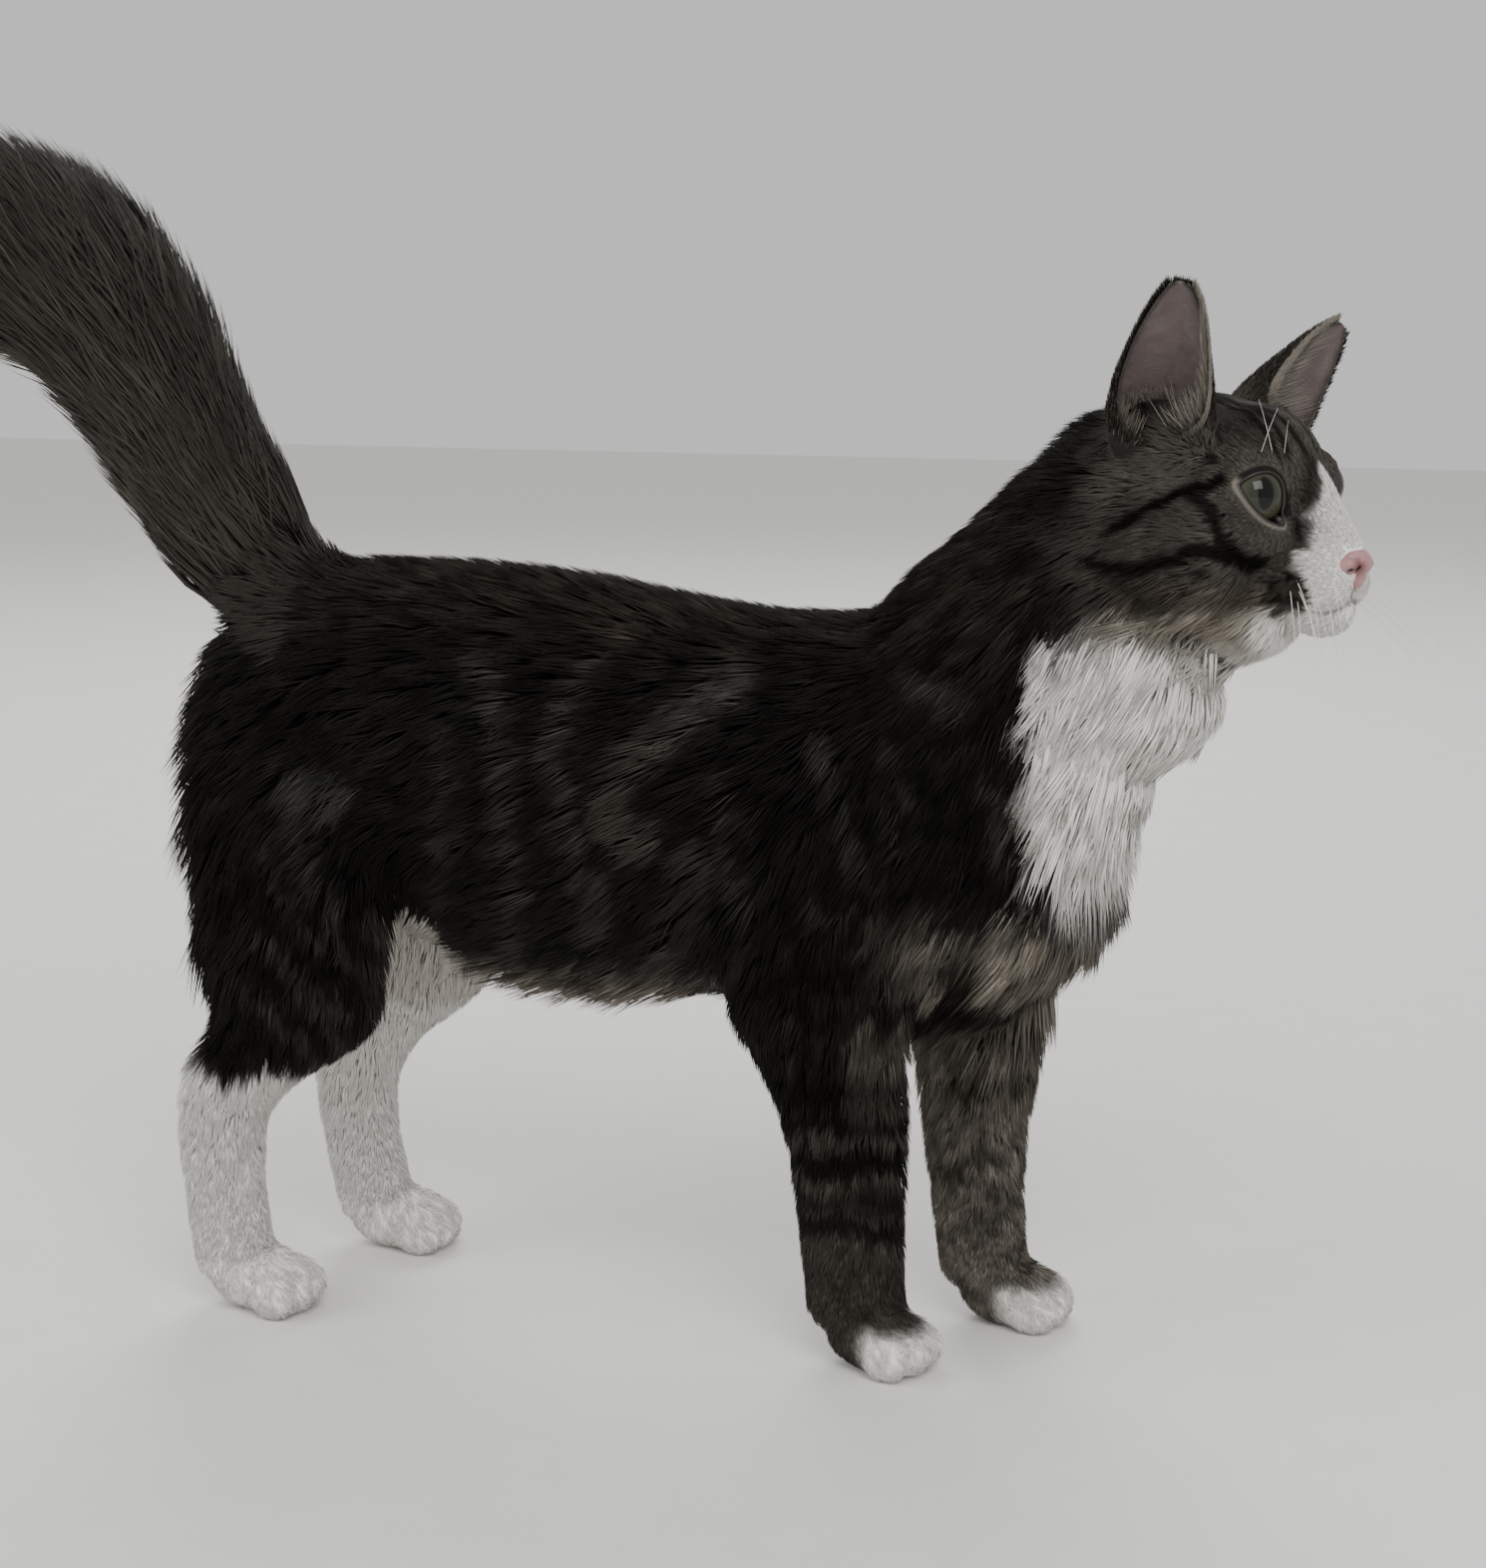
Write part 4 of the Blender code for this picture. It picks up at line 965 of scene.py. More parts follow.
body_points = mesh_points(skin.data)
for mark, values in zip(MARKS, markings(body_points).T):
    store(skin.data, mark, values)
skin.data.shade_smooth()
settled(skin, coat_finish("skin_under_coat", False))
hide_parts("torso", "neck", "head", "tail", "right_foreleg", "left_foreleg", "right_hindleg",
            "left_hindleg", "right_forepaw", "left_forepaw", "right_hindpaw", "left_hindpaw")


# The coat: tapered tufts of hair with their roots in the skin. Each follows the skin from its root, along the
# lie of the coat there, rises to its tip and leans to the tuft that leads its clump. Guides give the lie, the
# length, the rise and the width of the hair at places on the body, and a tuft takes a mean of those round it.
# Guides on the body: place, lie, length, rise at the tip, width. They count for both sides.
BODY_GUIDES = (
    ((96, 0, 268), (-0.6, 0, -0.75), 26, 7, 1.1),
    ((80, 0, 246), (-0.85, 0, -0.5), 24, 6, 1.1),
    ((50, 0, 250), (-1, 0, -0.1), 20, 5, 1.0),
    ((0, 0, 248), (-1, 0, 0), 19, 5, 1.0),
    ((-70, 0, 257), (-1, 0, 0), 20, 5.5, 1.0),
    ((-140, 0, 258), (-1, 0, 0.05), 20, 5.5, 1.0),
    ((-172, 0, 246), (-0.85, 0, 0.3), 20, 5, 1.0),
    ((30, 40, 232), (-0.85, 0, -0.5), 20, 6, 1.0),
    ((-40, 42, 235), (-0.95, 0, -0.3), 21, 6, 1.0),
    ((-110, 40, 240), (-0.92, 0, -0.35), 21, 6, 1.0),
    ((0, 50, 190), (-0.85, 0, -0.5), 24, 7, 1.1),
    ((-60, 50, 190), (-0.88, 0, -0.45), 24, 7, 1.1),
    ((-100, 46, 190), (-0.88, 0, -0.45), 22, 6, 1.1),
    ((0, 40, 140), (-0.88, 0, -0.4), 26, 8, 1.2),
    ((-60, 40, 142), (-0.9, 0, -0.38), 27, 9, 1.2),
    ((-20, 0, 122), (-0.9, 0, -0.4), 34, 17, 1.4),
    ((-60, 0, 124), (-0.9, 0, -0.4), 36, 19, 1.4),
    ((-100, 0, 134), (-0.9, 0, -0.4), 32, 10, 1.4),
    ((20, 0, 118), (-0.9, 0, -0.35), 26, 8, 1.3),
    ((60, 38, 205), (-0.45, 0, -0.9), 21, 6, 1.1),
    ((45, 42, 180), (-0.35, 0, -0.94), 20, 6, 1.1),
    ((100, 30, 215), (-0.45, 0.1, -0.9), 27, 9, 1.2),
    ((118, 30, 250), (-0.5, 0.1, -0.86), 26, 9, 1.2),
    ((-150, 44, 215), (-0.75, 0, -0.66), 22, 6, 1.1),
    ((-135, 48, 175), (-0.68, 0, -0.75), 23, 6, 1.1),
    ((-188, 12, 215), (-0.3, 0, -0.95), 38, 17, 1.4),
    ((-190, 22, 185), (-0.25, 0, -0.97), 40, 18, 1.4),
    ((-186, 28, 140), (-0.25, 0, -0.97), 36, 14, 1.4),
    ((-184, 40, 165), (-0.34, 0, -0.94), 34, 9, 1.3),
    ((-165, 50, 140), (-0.45, 0, -0.9), 24, 6, 1.1),
    ((-112, 30, 145), (-0.6, 0, -0.8), 22, 7, 1.1),
    ((-150, 14, 150), (-0.4, 0, -0.9), 22, 5, 1.1),
)
# Hair of the legs by height: height, length, rise, width
LEG_COAT = ((4, 4.5, 1.0, 0.6), (24, 6, 1.5, 0.65), (45, 8, 2.0, 0.7), (76, 11, 3.0, 0.8),
            (104, 14, 4.0, 0.9), (142, 18, 5.0, 1.0))
# Places and lies of the paws' hair ahead of the ankle, and its length, rise and width
PAW_GUIDES = (((20, 0, 12), (1, 0, -0.4)), ((8, 13, 10), (0.7, 0.1, -0.7)), ((8, -13, 10), (0.7, -0.1, -0.7)),
              ((-10, 0, 8), (0.1, 0, -1)))
PAW_COAT = (4.5, 1.1, 0.52)
# Guides on the head, in its own frame, for both sides
HEAD_GUIDES = (
    ((46, 0, -6), (-0.75, 0.0, 0.65), 2.6, 0.5, 0.38),
    ((38, 4, 2), (-0.8, 0.1, 0.6), 3.4, 0.7, 0.41),
    ((28, 6, 16), (-0.85, 0.15, 0.5), 4.5, 1.0, 0.44),
    ((18, 4, 28), (-0.95, 0.1, 0.3), 6, 1.6, 0.48),
    ((0, 0, 34), (-1, 0.05, 0), 8, 2.5, 0.54),
    ((-22, 0, 32), (-1, 0, -0.15), 11, 3.5, 0.61),
    ((-46, 0, 16), (-0.8, 0, -0.6), 20, 6, 0.88),
    ((30, 10, 18), (-0.8, 0.45, 0.4), 4.5, 1.2, 0.44),
    ((38, 11, -9), (-0.88, 0.45, 0.05), 4.2, 0.8, 0.41),
    ((47, 6, -19), (-0.6, 0.75, -0.3), 3.6, 0.7, 0.41),
    ((40, 13, -21), (-0.85, 0.45, -0.3), 5, 1.0, 0.44),
    ((42, 0, -34), (-0.75, 0.1, -0.6), 5, 1.4, 0.48),
    ((33, 20, -5), (-0.93, 0.35, -0.15), 4.8, 1.0, 0.44),
    ((20, 28, -8), (-0.97, 0.15, -0.2), 7, 1.8, 0.51),
    ((8, 31, 8), (-1, 0.05, 0.02), 7, 2.0, 0.51),
    ((5, 26, 24), (-0.9, 0.05, 0.35), 6, 2.2, 0.54),
    ((-10, 37, -12), (-0.92, 0.1, -0.4), 13, 4.0, 0.68),
    ((0, 32, -28), (-0.85, 0.1, -0.55), 14, 4.5, 0.68),
    ((15, 15, -34), (-0.9, 0.1, -0.45), 10, 3, 0.61),
    ((22, 4, -36), (-0.75, 0, -0.66), 10, 3, 0.54),
    ((6, 5, -44), (-0.7, 0, -0.7), 17, 6, 0.68),
    ((-24, 22, 24), (-0.95, 0.05, -0.3), 17, 8, 0.61),
    ((-26, 30, 4), (-0.9, 0.05, -0.4), 14, 4.5, 0.75),
    ((-40, 28, -16), (-0.75, 0, -0.66), 22, 7, 0.95),
)
# The breast's long hair: centre x and z, half depth and half width of the surface that its tips reach
BIB_RINGS = ((152, 262, 24, 24), (140, 244, 27, 30), (128, 216, 26, 34), (118, 190, 25, 34),
             (106, 165, 25, 32), (93, 142, 23, 28), (80, 124, 17, 22))
BIB_LENGTH, BIB_RISE, BIB_WIDTH = 40.0, (5, 24), 1.5
# The tail's hair: length in radii of the brush, and width
TAIL_LENGTH, TAIL_WIDTH = 1.95, 1.5
# Pieces of the coat: name, thousands of triangles, rings in a tuft, how many parts
COAT_PIECES = (
    ("head_coat", 280, 1, 2),
    ("breast_coat", 240, 2, 2),
    ("body_coat", 345, 1, 2),
    ("tail_coat", 220, 2, 2),
    ("foreleg_coat", 100, 1, 1),
    ("hindleg_coat", 135, 1, 1),
    ("paw_coat", 62, 1, 1),
)
COAT_SEED = 11
# Tufts drawn to one leader, and how far they are drawn at the tip, for short hair and more for long
CLUMP_SIZE, CLUMP_PULL, LONG_PULL = 9, 0.32, 0.2
# How far the hair's lie turns by chance, for a whole clump and for each tuft
CLUMP_SWAY, TUFT_SWAY = 0.16, 0.10
# The skin that stays bare: how far round the eyeballs, outside the lids, beside the lips and over the floor,
# and the oval under the nose
EYE_BARE, LID_BARE, LIP_BARE, SOLE_BARE = 0.5, 0.9, 0.9, 1.2
NOSE_BARE, NOSE_BARE_HALF = (48.0, 0, -13.2), (5.6, 7.2, 4.8)

skin.data.calc_loop_triangles()
corners = np.empty(len(skin.data.loop_triangles) * 3, int)
skin.data.loop_triangles.foreach_get("vertices", corners)
corners = corners.reshape(-1, 3)
tree = BVHTree.FromPolygons(body_points.tolist(), corners.tolist())
point_normals = np.empty(len(body_points) * 3)
skin.data.vertices.foreach_get("normal", point_normals)
point_normals = point_normals.reshape(-1, 3)


def nearest_on_skin(points):
    """The nearest points on the skin, and its face normals there."""
    found = [tree.find_nearest(p)[:2] for p in points.tolist()]
    return np.array([f[0] for f in found]), np.array([f[1] for f in found])


def guide_table():
    """All guides as rows of place, lie, length, rise and width, in the cat's own frame."""
    rows = []
    for place, lie, *sizes in BODY_GUIDES:
        for side in ((RIGHT, LEFT) if place[1] else (LEFT,)):
            rows.append((place[0], side * place[1], place[2], lie[0], side * lie[1], lie[2], *sizes))
    for place, lie, *sizes in HEAD_GUIDES:
        for side in ((RIGHT, LEFT) if place[1] else (LEFT,)):
            at = on_head((place[0], side * place[1], place[2]))
            way = HEAD_TURN @ (lie[0], side * lie[1], lie[2])
            rows.append((*at, *way, *sizes))
    heights, *sizes = np.array(LEG_COAT, float).T
    for name, legs, side in LEGS:
        for x, y, z, deep, wide in legs[2:]:
            length, rise, width = (np.interp(z, heights, size) for size in sizes)
            for dx, dy in ((1, 0), (-1, 0), (0, 1), (0, -1)):
                longer = 1.25 if dx < 0 else 1.0
                rows.append((x + dx * deep, side * y + dy * wide, z, -0.12, 0, -1, length * longer, rise, width))
    for name, (x, y), heading, length in PAWS:
        turn = turned(math.radians(heading))
        for place, lie in PAW_GUIDES:
            rows.append((*((x, y, 0) + turn @ place), *(turn @ lie), *PAW_COAT))
    return np.array(rows)


def breast_guides():
    """Guides over the breast, whose rise takes the tips out to the surface of the bib."""
    tips, lies = [], []
    for i, (x, z, deep, wide) in enumerate(spline(BIB_RINGS, 2)):
        for spread in (-1.0, -0.6, -0.25, 0.0, 0.25, 0.6, 1.0):
            turn = math.radians(95) * spread
            out = np.array((math.cos(turn) * 0.88 * deep, math.sin(turn) * wide, -math.cos(turn) * 0.48 * deep))
            tips.append(np.array((x, 0, z)) + out)
            lies.append((-0.28 - 0.25 * abs(spread), 0.10 * spread, -0.93))
    tips = np.array(tips)
    roots, _ = nearest_on_skin(tips)
    rise = np.clip(np.linalg.norm(tips - roots, axis=1), *BIB_RISE)
    sizes = np.stack((np.full(len(tips), BIB_LENGTH), rise * 0.95, np.full(len(tips), BIB_WIDTH)), 1)
    return np.concatenate((roots, unit(lies), sizes), 1)


GUIDES = np.concatenate((guide_table(), breast_guides()))
TAIL_RUN = spline(TAIL_RINGS, 6)
TAIL_WAY = unit(np.gradient(TAIL_RUN[:, :3], axis=0))


def guided(points):
    """Lie, length, rise and width of the hair at points: a mean of the guides, the nearest counting most."""
    out = np.zeros((len(points), 6))
    for start in range(0, len(points), 20000):
        some = points[start:start + 20000]
        gap = ((some[:, None, :] - GUIDES[None, :, :3]) ** 2).sum(2)
        weight = 1 / (gap + 9) ** 2.2
        weight /= weight.sum(1, keepdims=True)
        out[start:start + 20000] = weight @ GUIDES[:, 3:]
    return out


def on_tail(points):
    """The nearest row of the tail's run to each point, and whether the point is on the tail."""
    gap = np.linalg.norm(points[:, None, :] - TAIL_RUN[None, :, :3], axis=2)
    row = gap.argmin(1)
    return row, (row > 6) & (gap.min(1) < TAIL_RUN[row, 3] * 1.25 + 2)


def piece_of(points):
    """Which piece of the coat each point of the skin belongs to."""
    x, y, z = points.T
    names = np.full(len(points), "body_coat", dtype="U16")
    names[(points - (78, 0, 206)) @ np.array((0.96, 0, 0.28)) > 0] = "breast_coat"
    names[(x > 0) & (z < 108)] = "foreleg_coat"
    names[(x < -95) & (z < 130)] = "hindleg_coat"
    names[z < 22] = "paw_coat"
    names[(points - (126, 0, 271)) @ unit((0.66, -0.15, 0.74)) > 0] = "head_coat"
    names[on_tail(points)[1]] = "tail_coat"
    return names


def round_share(aside, ahead):
    """How far round a middle a place lies, from 0 to 1."""
    return (np.arctan2(aside, ahead) / math.pi + 1) / 2


def unwrap(points, name):
    """A place on the skin's own unwrap: along the part and round it, from 0 to 1."""
    if name == "tail_coat":
        row = on_tail(points)[0]
        out = points - TAIL_RUN[row, :3]
        return np.stack((row / len(TAIL_RUN), round_share(out[:, 1], np.cross(out, TAIL_WAY[row])[:, 1])), 1)
    if name == "head_coat":
        out = unit(from_head(points) - (0, 0, -2))
        return np.stack((round_share(out[:, 1], out[:, 0]), (out[:, 2] + 1) / 2), 1)
    if name == "breast_coat":
        return np.stack((round_share(points[:, 1], points[:, 0] - 100), (points[:, 2] - 90) / 220), 1)
    if name == "body_coat":
        return np.stack(((points[:, 0] + 210) / 310, round_share(points[:, 1], points[:, 2] - 190)), 1)
    legs = np.array([[np.interp(50, [r[2] for r in rows][::-1], [r[i] for r in rows][::-1]) for i in (0, 1)]
                     for _, rows, _ in LEGS])
    legs[:, 1] *= [side for _, _, side in LEGS]
    which = np.linalg.norm(points[:, None, :2] - legs[None], axis=2).argmin(1)
    out = points[:, :2] - legs[which]
    turn = round_share(out[:, 1], out[:, 0])
    return np.stack(((which + turn) / 4, np.clip(points[:, 2] / 150, 0, 1)), 1)


def tuft_mesh(name, path, across, width, thick, values, spots):
    """Tufts as closed slim spindles: a root point, rings of three points and a tip."""
    count, rows = path.shape[0], path.shape[1] - 2
    along = unit(path[:, 2:] - path[:, :-2])
    side = unit(across[:, None] - along * (across[:, None] * along).sum(2, keepdims=True))
    up = np.cross(side, along)
    ring = path[:, 1:-1]
    half = width[:, :, None] / 2
    points = np.stack((ring + side * half - up * thick[:, :, None] / 3, ring + up * thick[:, :, None],
                       ring - side * half - up * thick[:, :, None] / 3), 2)
    each = rows * 3 + 2
    whole = np.concatenate((path[:, :1], points.reshape(count, rows * 3, 3), path[:, -1:]), 1)
    faces = []
    for k in range(3):
        n = (k + 1) % 3
        faces.append((0, 1 + n, 1 + k))
        for r in range(rows - 1):
            a, b = 1 + r * 3 + k, 1 + r * 3 + n
            faces += [(a, b, b + 3), (a, b + 3, a + 3)]
        faces.append((1 + (rows - 1) * 3 + k, 1 + (rows - 1) * 3 + n, each - 1))
    faces = np.array(faces)
    index = (faces[None] + (np.arange(count) * each)[:, None, None]).reshape(-1)
    data = bpy.data.meshes.new(name)
    data.vertices.add(count * each)
    data.vertices.foreach_set("co", in_row(whole.reshape(-1, 3)).astype(np.float32).reshape(-1))
    data.loops.add(len(index))
    data.loops.foreach_set("vertex_index", index.astype(np.int32))
    data.polygons.add(len(index) // 3)
    data.polygons.foreach_set("loop_start", np.arange(0, len(index), 3, dtype=np.int32))
    data.update(calc_edges=True)
    shares = np.linspace(0, 1, rows + 2)
    place = np.concatenate(([0.0], np.repeat(shares[1:-1], 3), [1.0]))
    turn = np.concatenate(([0.5], np.tile((0.0, 0.5, 1.0), rows), [0.5]))
    for mark, column in zip(MARKS, values.T):
        store(data, mark, np.repeat(column, each))
    store(data, "chance", np.repeat(values[:, len(MARKS)], each))
    store(data, "along", np.tile(place, count))
    unwrapped = (spots[:, None] * 0.994 + 0.003 * np.stack((turn, place), 1)[None]).reshape(-1, 2)[index]
    data.uv_layers.new(name="OFBake").data.foreach_set("uv", unwrapped.astype(np.float32).reshape(-1))
    data.shade_smooth()
    return linked(name, data)


def grown(roots, normals, lie, length, rise, rings, draw, pull):
    """The paths of tufts over the skin, drawn together in clumps."""
    count = len(roots)
    heading = unit(lie - normals * (lie * normals).sum(1, keepdims=True))
    leaders = np.flatnonzero(draw.random(count) < 1 / CLUMP_SIZE)
    finder = KDTree(len(leaders))
    for k, leader in enumerate(leaders):
        finder.insert(roots[leader] - heading[leader] * 2, k)
    finder.balance()
    lead = leaders[[finder.find(p)[1] for p in roots.tolist()]]
    sway = draw.normal(0, CLUMP_SWAY, count)[lead] + draw.normal(0, TUFT_SWAY, count)
    heading = unit(heading + np.cross(normals, heading) * sway[:, None])
    shares = np.linspace(0, 1, rings + 2)
    sink = np.clip(0.32 * rise, 0.12, 0.8)
    place = roots - normals * sink[:, None]
    path = [place]
    for before, share in zip(shares[:-1], shares[1:]):
        spot = place + heading * (length * (share - before))[:, None]
        near, normal = nearest_on_skin(spot)
        lift = ((spot - near) * normal).sum(1)
        aim = (rise + sink) * share ** 0.8 - sink
        place = spot + normal * ((aim - lift) * np.where(lift < aim, 1.0, 0.7))[:, None]
        heading = unit(place - path[-1])
        path.append(place)
    path = np.stack(path, 1)
    toward = path[lead] - path
    return path + toward * (pull * shares ** 1.4)[None, :, None]


triangle = body_points[corners]
middle = triangle.mean(1)
area = np.linalg.norm(np.cross(triangle[:, 1] - triangle[:, 0], triangle[:, 2] - triangle[:, 0]), axis=1) / 2
owner = piece_of(middle)
eye_places = np.array([eye_place(side) for side in (RIGHT, LEFT)])
bare = (np.linalg.norm(middle[:, None] - eye_places[None], axis=2) < EYE_RADIUS + EYE_BARE).any(1)
bare |= eye_reach(middle)[0] < LID_BARE
bare |= np.linalg.norm((from_head(middle) - NOSE_BARE) / NOSE_BARE_HALF, axis=1) < 1
bare |= np.minimum.reduce([way_distance(middle, way) for way in MOUTH_LINES]) < LIP_BARE
bare |= middle[:, 2] < SOLE_BARE
need = 1 / np.maximum(guided(middle)[:, 3] * guided(middle)[:, 5], 1.0)
need = need ** 0.75 * area * ~bare
coat_paint = coat_finish("coat_hair", True)
for name, thousands, rings, parts in COAT_PIECES:
    draw = np.random.default_rng(COAT_SEED + len(name))
    mine = np.flatnonzero(owner == name)
    count = int(thousands * 1000 / (6 * rings))
    chosen = mine[draw.choice(len(mine), count, p=need[mine] / need[mine].sum())]
    part = np.sqrt(draw.random(count))[:, None], draw.random(count)[:, None]
    shares = np.concatenate((1 - part[0], part[0] * (1 - part[1]), part[0] * part[1]), 1)
    roots = (triangle[chosen] * shares[:, :, None]).sum(1)
    normals = unit((point_normals[corners[chosen]] * shares[:, :, None]).sum(1))
    guide = guided(roots)
    lie, length, rise, width = guide[:, :3], guide[:, 3], guide[:, 4], guide[:, 5]
    if name == "tail_coat":
        row = on_tail(roots)[0]
        ahead = np.minimum(row + 6, len(TAIL_RUN) - 1)
        lie, full = TAIL_WAY[row], TAIL_RUN[ahead, 4]
        length = full * TAIL_LENGTH * np.interp(row, (6, 20, len(TAIL_RUN)), (0.8, 1.0, 0.8))
        rise, width = full - TAIL_RUN[ahead, 3], np.full(count, TAIL_WIDTH)
    if name == "head_coat":
        reach, _, way = eye_reach(roots)
        lie = lie + way * (1.6 * step(reach, 9, 1))[:, None]
        length = length * np.interp(reach, (0.8, 10), (0.4, 1.0))
        rise = rise * np.interp(reach, (0.8, 10), (0.35, 1.0))
    size = draw.uniform(0.75, 1.08, count)
    length, rise = length * size, rise * draw.uniform(0.7, 1.1, count)
    big = step(length, 6, 30)
    path = grown(roots, normals, lie, length, rise, rings, draw, CLUMP_PULL + LONG_PULL * big.mean())
    seen = path[:, 0] * 0.45 + path[:, -1] * 0.55
    values = np.concatenate((markings(seen), draw.random(count)[:, None]), 1)
    across = unit(np.cross(path[:, -1] - path[:, 0], normals))
    profile = np.interp(np.linspace(0, 1, rings + 2)[1:-1], (0.0, 0.34, 0.67, 1.0), (0.5, 1.0, 0.75, 0.0))
    wide = (width * draw.uniform(0.7, 1.2, count))[:, None] * profile[None]
    spots = unwrap(roots, name)
    for k in range(parts):
        few = np.arange(count) % parts == k
        label = name if parts == 1 else f"{name}_{k + 1}"
        piece = tuft_mesh(label, path[few], across[few], wide[few], wide[few] * 0.22, values[few], spots[few])
        settled(piece, coat_paint)


# The eyes: clear, wet balls with a grey-green iris round an upright slit of a pupil, set in lids whose rims are
# dark, bare skin. Each rests in a socket of the skin.
# Gaze of each eye: degrees out from the head's own way, and up
GAZES = (("right_eye", RIGHT, 38.0, 6.0), ("left_eye", LEFT, 14.0, 4.0))
PUPIL_HALF_WIDTH, PUPIL_HALF_HEIGHT = 0.23, 0.46
# How far the cornea swells out, and over which cosine from its middle
SWELL, SWELL_EDGE = 0.07, 0.78
RIM_RADIUS = 0.55
# The pink corner by the nose: place in the eye's frame, half axes
TEAR_CORNER, TEAR_RADII = (6.6, 9.3, -2.6), (2.6, 2.4, 1.6)


def eyeball_finish():
    made, shader, wire = finish_of("wet_eye", 0.5, Specular_IOR_Level=0.0, Coat_Weight=1.0, Coat_Roughness=0.015,
                                   Coat_IOR=1.36)
    across, up = wire.mark("gaze_across"), wire.mark("gaze_up")
    slit = ((across * (1 / PUPIL_HALF_WIDTH)) ** 2 + (up * (1 / PUPIL_HALF_HEIGHT)) ** 2) ** 0.5
    reach = (across ** 2 + up ** 2) ** 0.5
    place = wire.node("ShaderNodeCombineXYZ", X=wire.maths("ARCTAN2", across, up) * 6.0, Y=reach * 3.0, Z=0.0)
    fibre = wire.node("ShaderNodeTexNoise", Vector=place, Scale=3.2, Detail=4.0, Roughness=0.65)
    ramp = {"stops": ((0.0, (0.030, 0.030, 0.019)), (0.42, (0.026, 0.028, 0.018)), (0.62, (0.050, 0.050, 0.033)),
                      (0.76, (0.036, 0.032, 0.019)), (0.86, (0.018, 0.015, 0.010)), (1.0, (0.014, 0.010, 0.008)))}
    iris = wire.node("ShaderNodeValToRGB", ramp, Fac=reach + (fibre - 0.5) * 0.10)
    iris = iris.shaded(0.70 + 0.6 * fibre)
    edge = wire.node("ShaderNodeMapRange", {"clamp": True}, Value=slit, From_Min=0.94, From_Max=1.10)
    feed(wire.colour(0.0012, 0.0012, 0.0012).mixed(iris, edge), shader, "Base Color")
    return made


def skin_tone(name, colour, roughness, speck, bump_height):
    """Bare moist or dry skin: a colour with small blotches and a fine pebbled surface."""
    made, shader, wire = finish_of(name, roughness, Specular_IOR_Level=0.45)
    feed(wire.colour(*colour).shaded((1 - speck / 2) + speck * wire.noise(350.0, 3.0)), shader, "Base Color")
    pebble = wire.node("ShaderNodeTexVoronoi", Vector=wire.node("ShaderNodeTexCoord", output=3), Scale=1600.0)
    feed(wire.bump(pebble, 0.5, bump_height), shader, "Normal")
    return made


eye_paint = eyeball_finish()
rim_paint = skin_tone("lid_rim_skin", (0.014, 0.010, 0.009), 0.35, 0.5, 0.0001)
for node, side, away, lift in GAZES:
    gaze = turned(HEAD_YAW + math.radians(side * away))
    gaze = gaze @ np.array(Matrix.Rotation(-math.radians(lift), 3, "Y"))
    points, faces = ball((0, 0, 0), (1, 1, 1), None, 64, 48)
    across, up = points[:, 0], points[:, 1]
    raised = np.clip((points[:, 2] - SWELL_EDGE) / (1 - SWELL_EDGE), 0, 1) ** 0.8
    swell = EYE_RADIUS * (1 + SWELL * raised)
    local = np.stack((points[:, 2], across, up), 1) * swell[:, None]
    eyeball = mesh_of(f"{node}ball", [(eye_place(side) + local @ gaze.T, faces)])
    store(eyeball.data, "gaze_across", np.where(points[:, 2] > 0, across, 1.0))
    store(eyeball.data, "gaze_up", np.where(points[:, 2] > 0, up, 1.0))
    line = spline(np.concatenate((lid_edges[side], lid_edges[side][:1])), 2)[:-1]
    tangent = unit(np.roll(line, -1, 0) - np.roll(line, 1, 0))
    inward = unit(eye_place(side) - line)
    count, sides = len(line), 8
    turn = 2 * math.pi * np.arange(sides)[None, :, None] / sides
    ring = (line + inward * RIM_RADIUS)[:, None] + RIM_RADIUS * (
        np.cos(turn) * inward[:, None] + np.sin(turn) * np.cross(tangent, inward)[:, None])
    faces = [(i * sides + k, i * sides + (k + 1) % sides, (i + 1) % count * sides + (k + 1) % sides,
              (i + 1) % count * sides + k) for i in range(count) for k in range(sides)]
    tear = np.array((TEAR_CORNER[0], -side * TEAR_CORNER[1], TEAR_CORNER[2]))
    rim = mesh_of(f"{node}_rim", [(ring.reshape(-1, 3), faces),
                                  ball(eye_place(side) + eye_turn(side) @ tear, TEAR_RADII, eye_turn(side),
                                       20, 12)])
    for item, paint in ((eyeball, eye_paint), (rim, rim_paint)):
        item.data.shade_smooth()
        settled(item, paint)
    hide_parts(node)


# The nose: a pad of bare pink leather with two nostrils over a narrow stem, moist and finely pebbled. It is set
# in the skin at the end of the bridge.
# Forms of the nose on the head: centre, half axes
NOSE_FORMS = (
    ((46.8, 0, -11.2), (5.4, 6.6, 3.2)),
    ((50.0, 0, -13.0), (3.6, 4.2, 3.7)),
    ((46.6, 4.9, -13.4), (5.2, 3.3, 3.2)),
    ((46.6, -4.9, -13.4), (5.2, 3.3, 3.2)),
    ((48.0, 0, -17.2), (3.9, 1.3, 3.8)),
)
NOSTRIL, NOSTRIL_RADII = (50.9, 4.3, -14.1), (2.3, 1.4, 0.9)
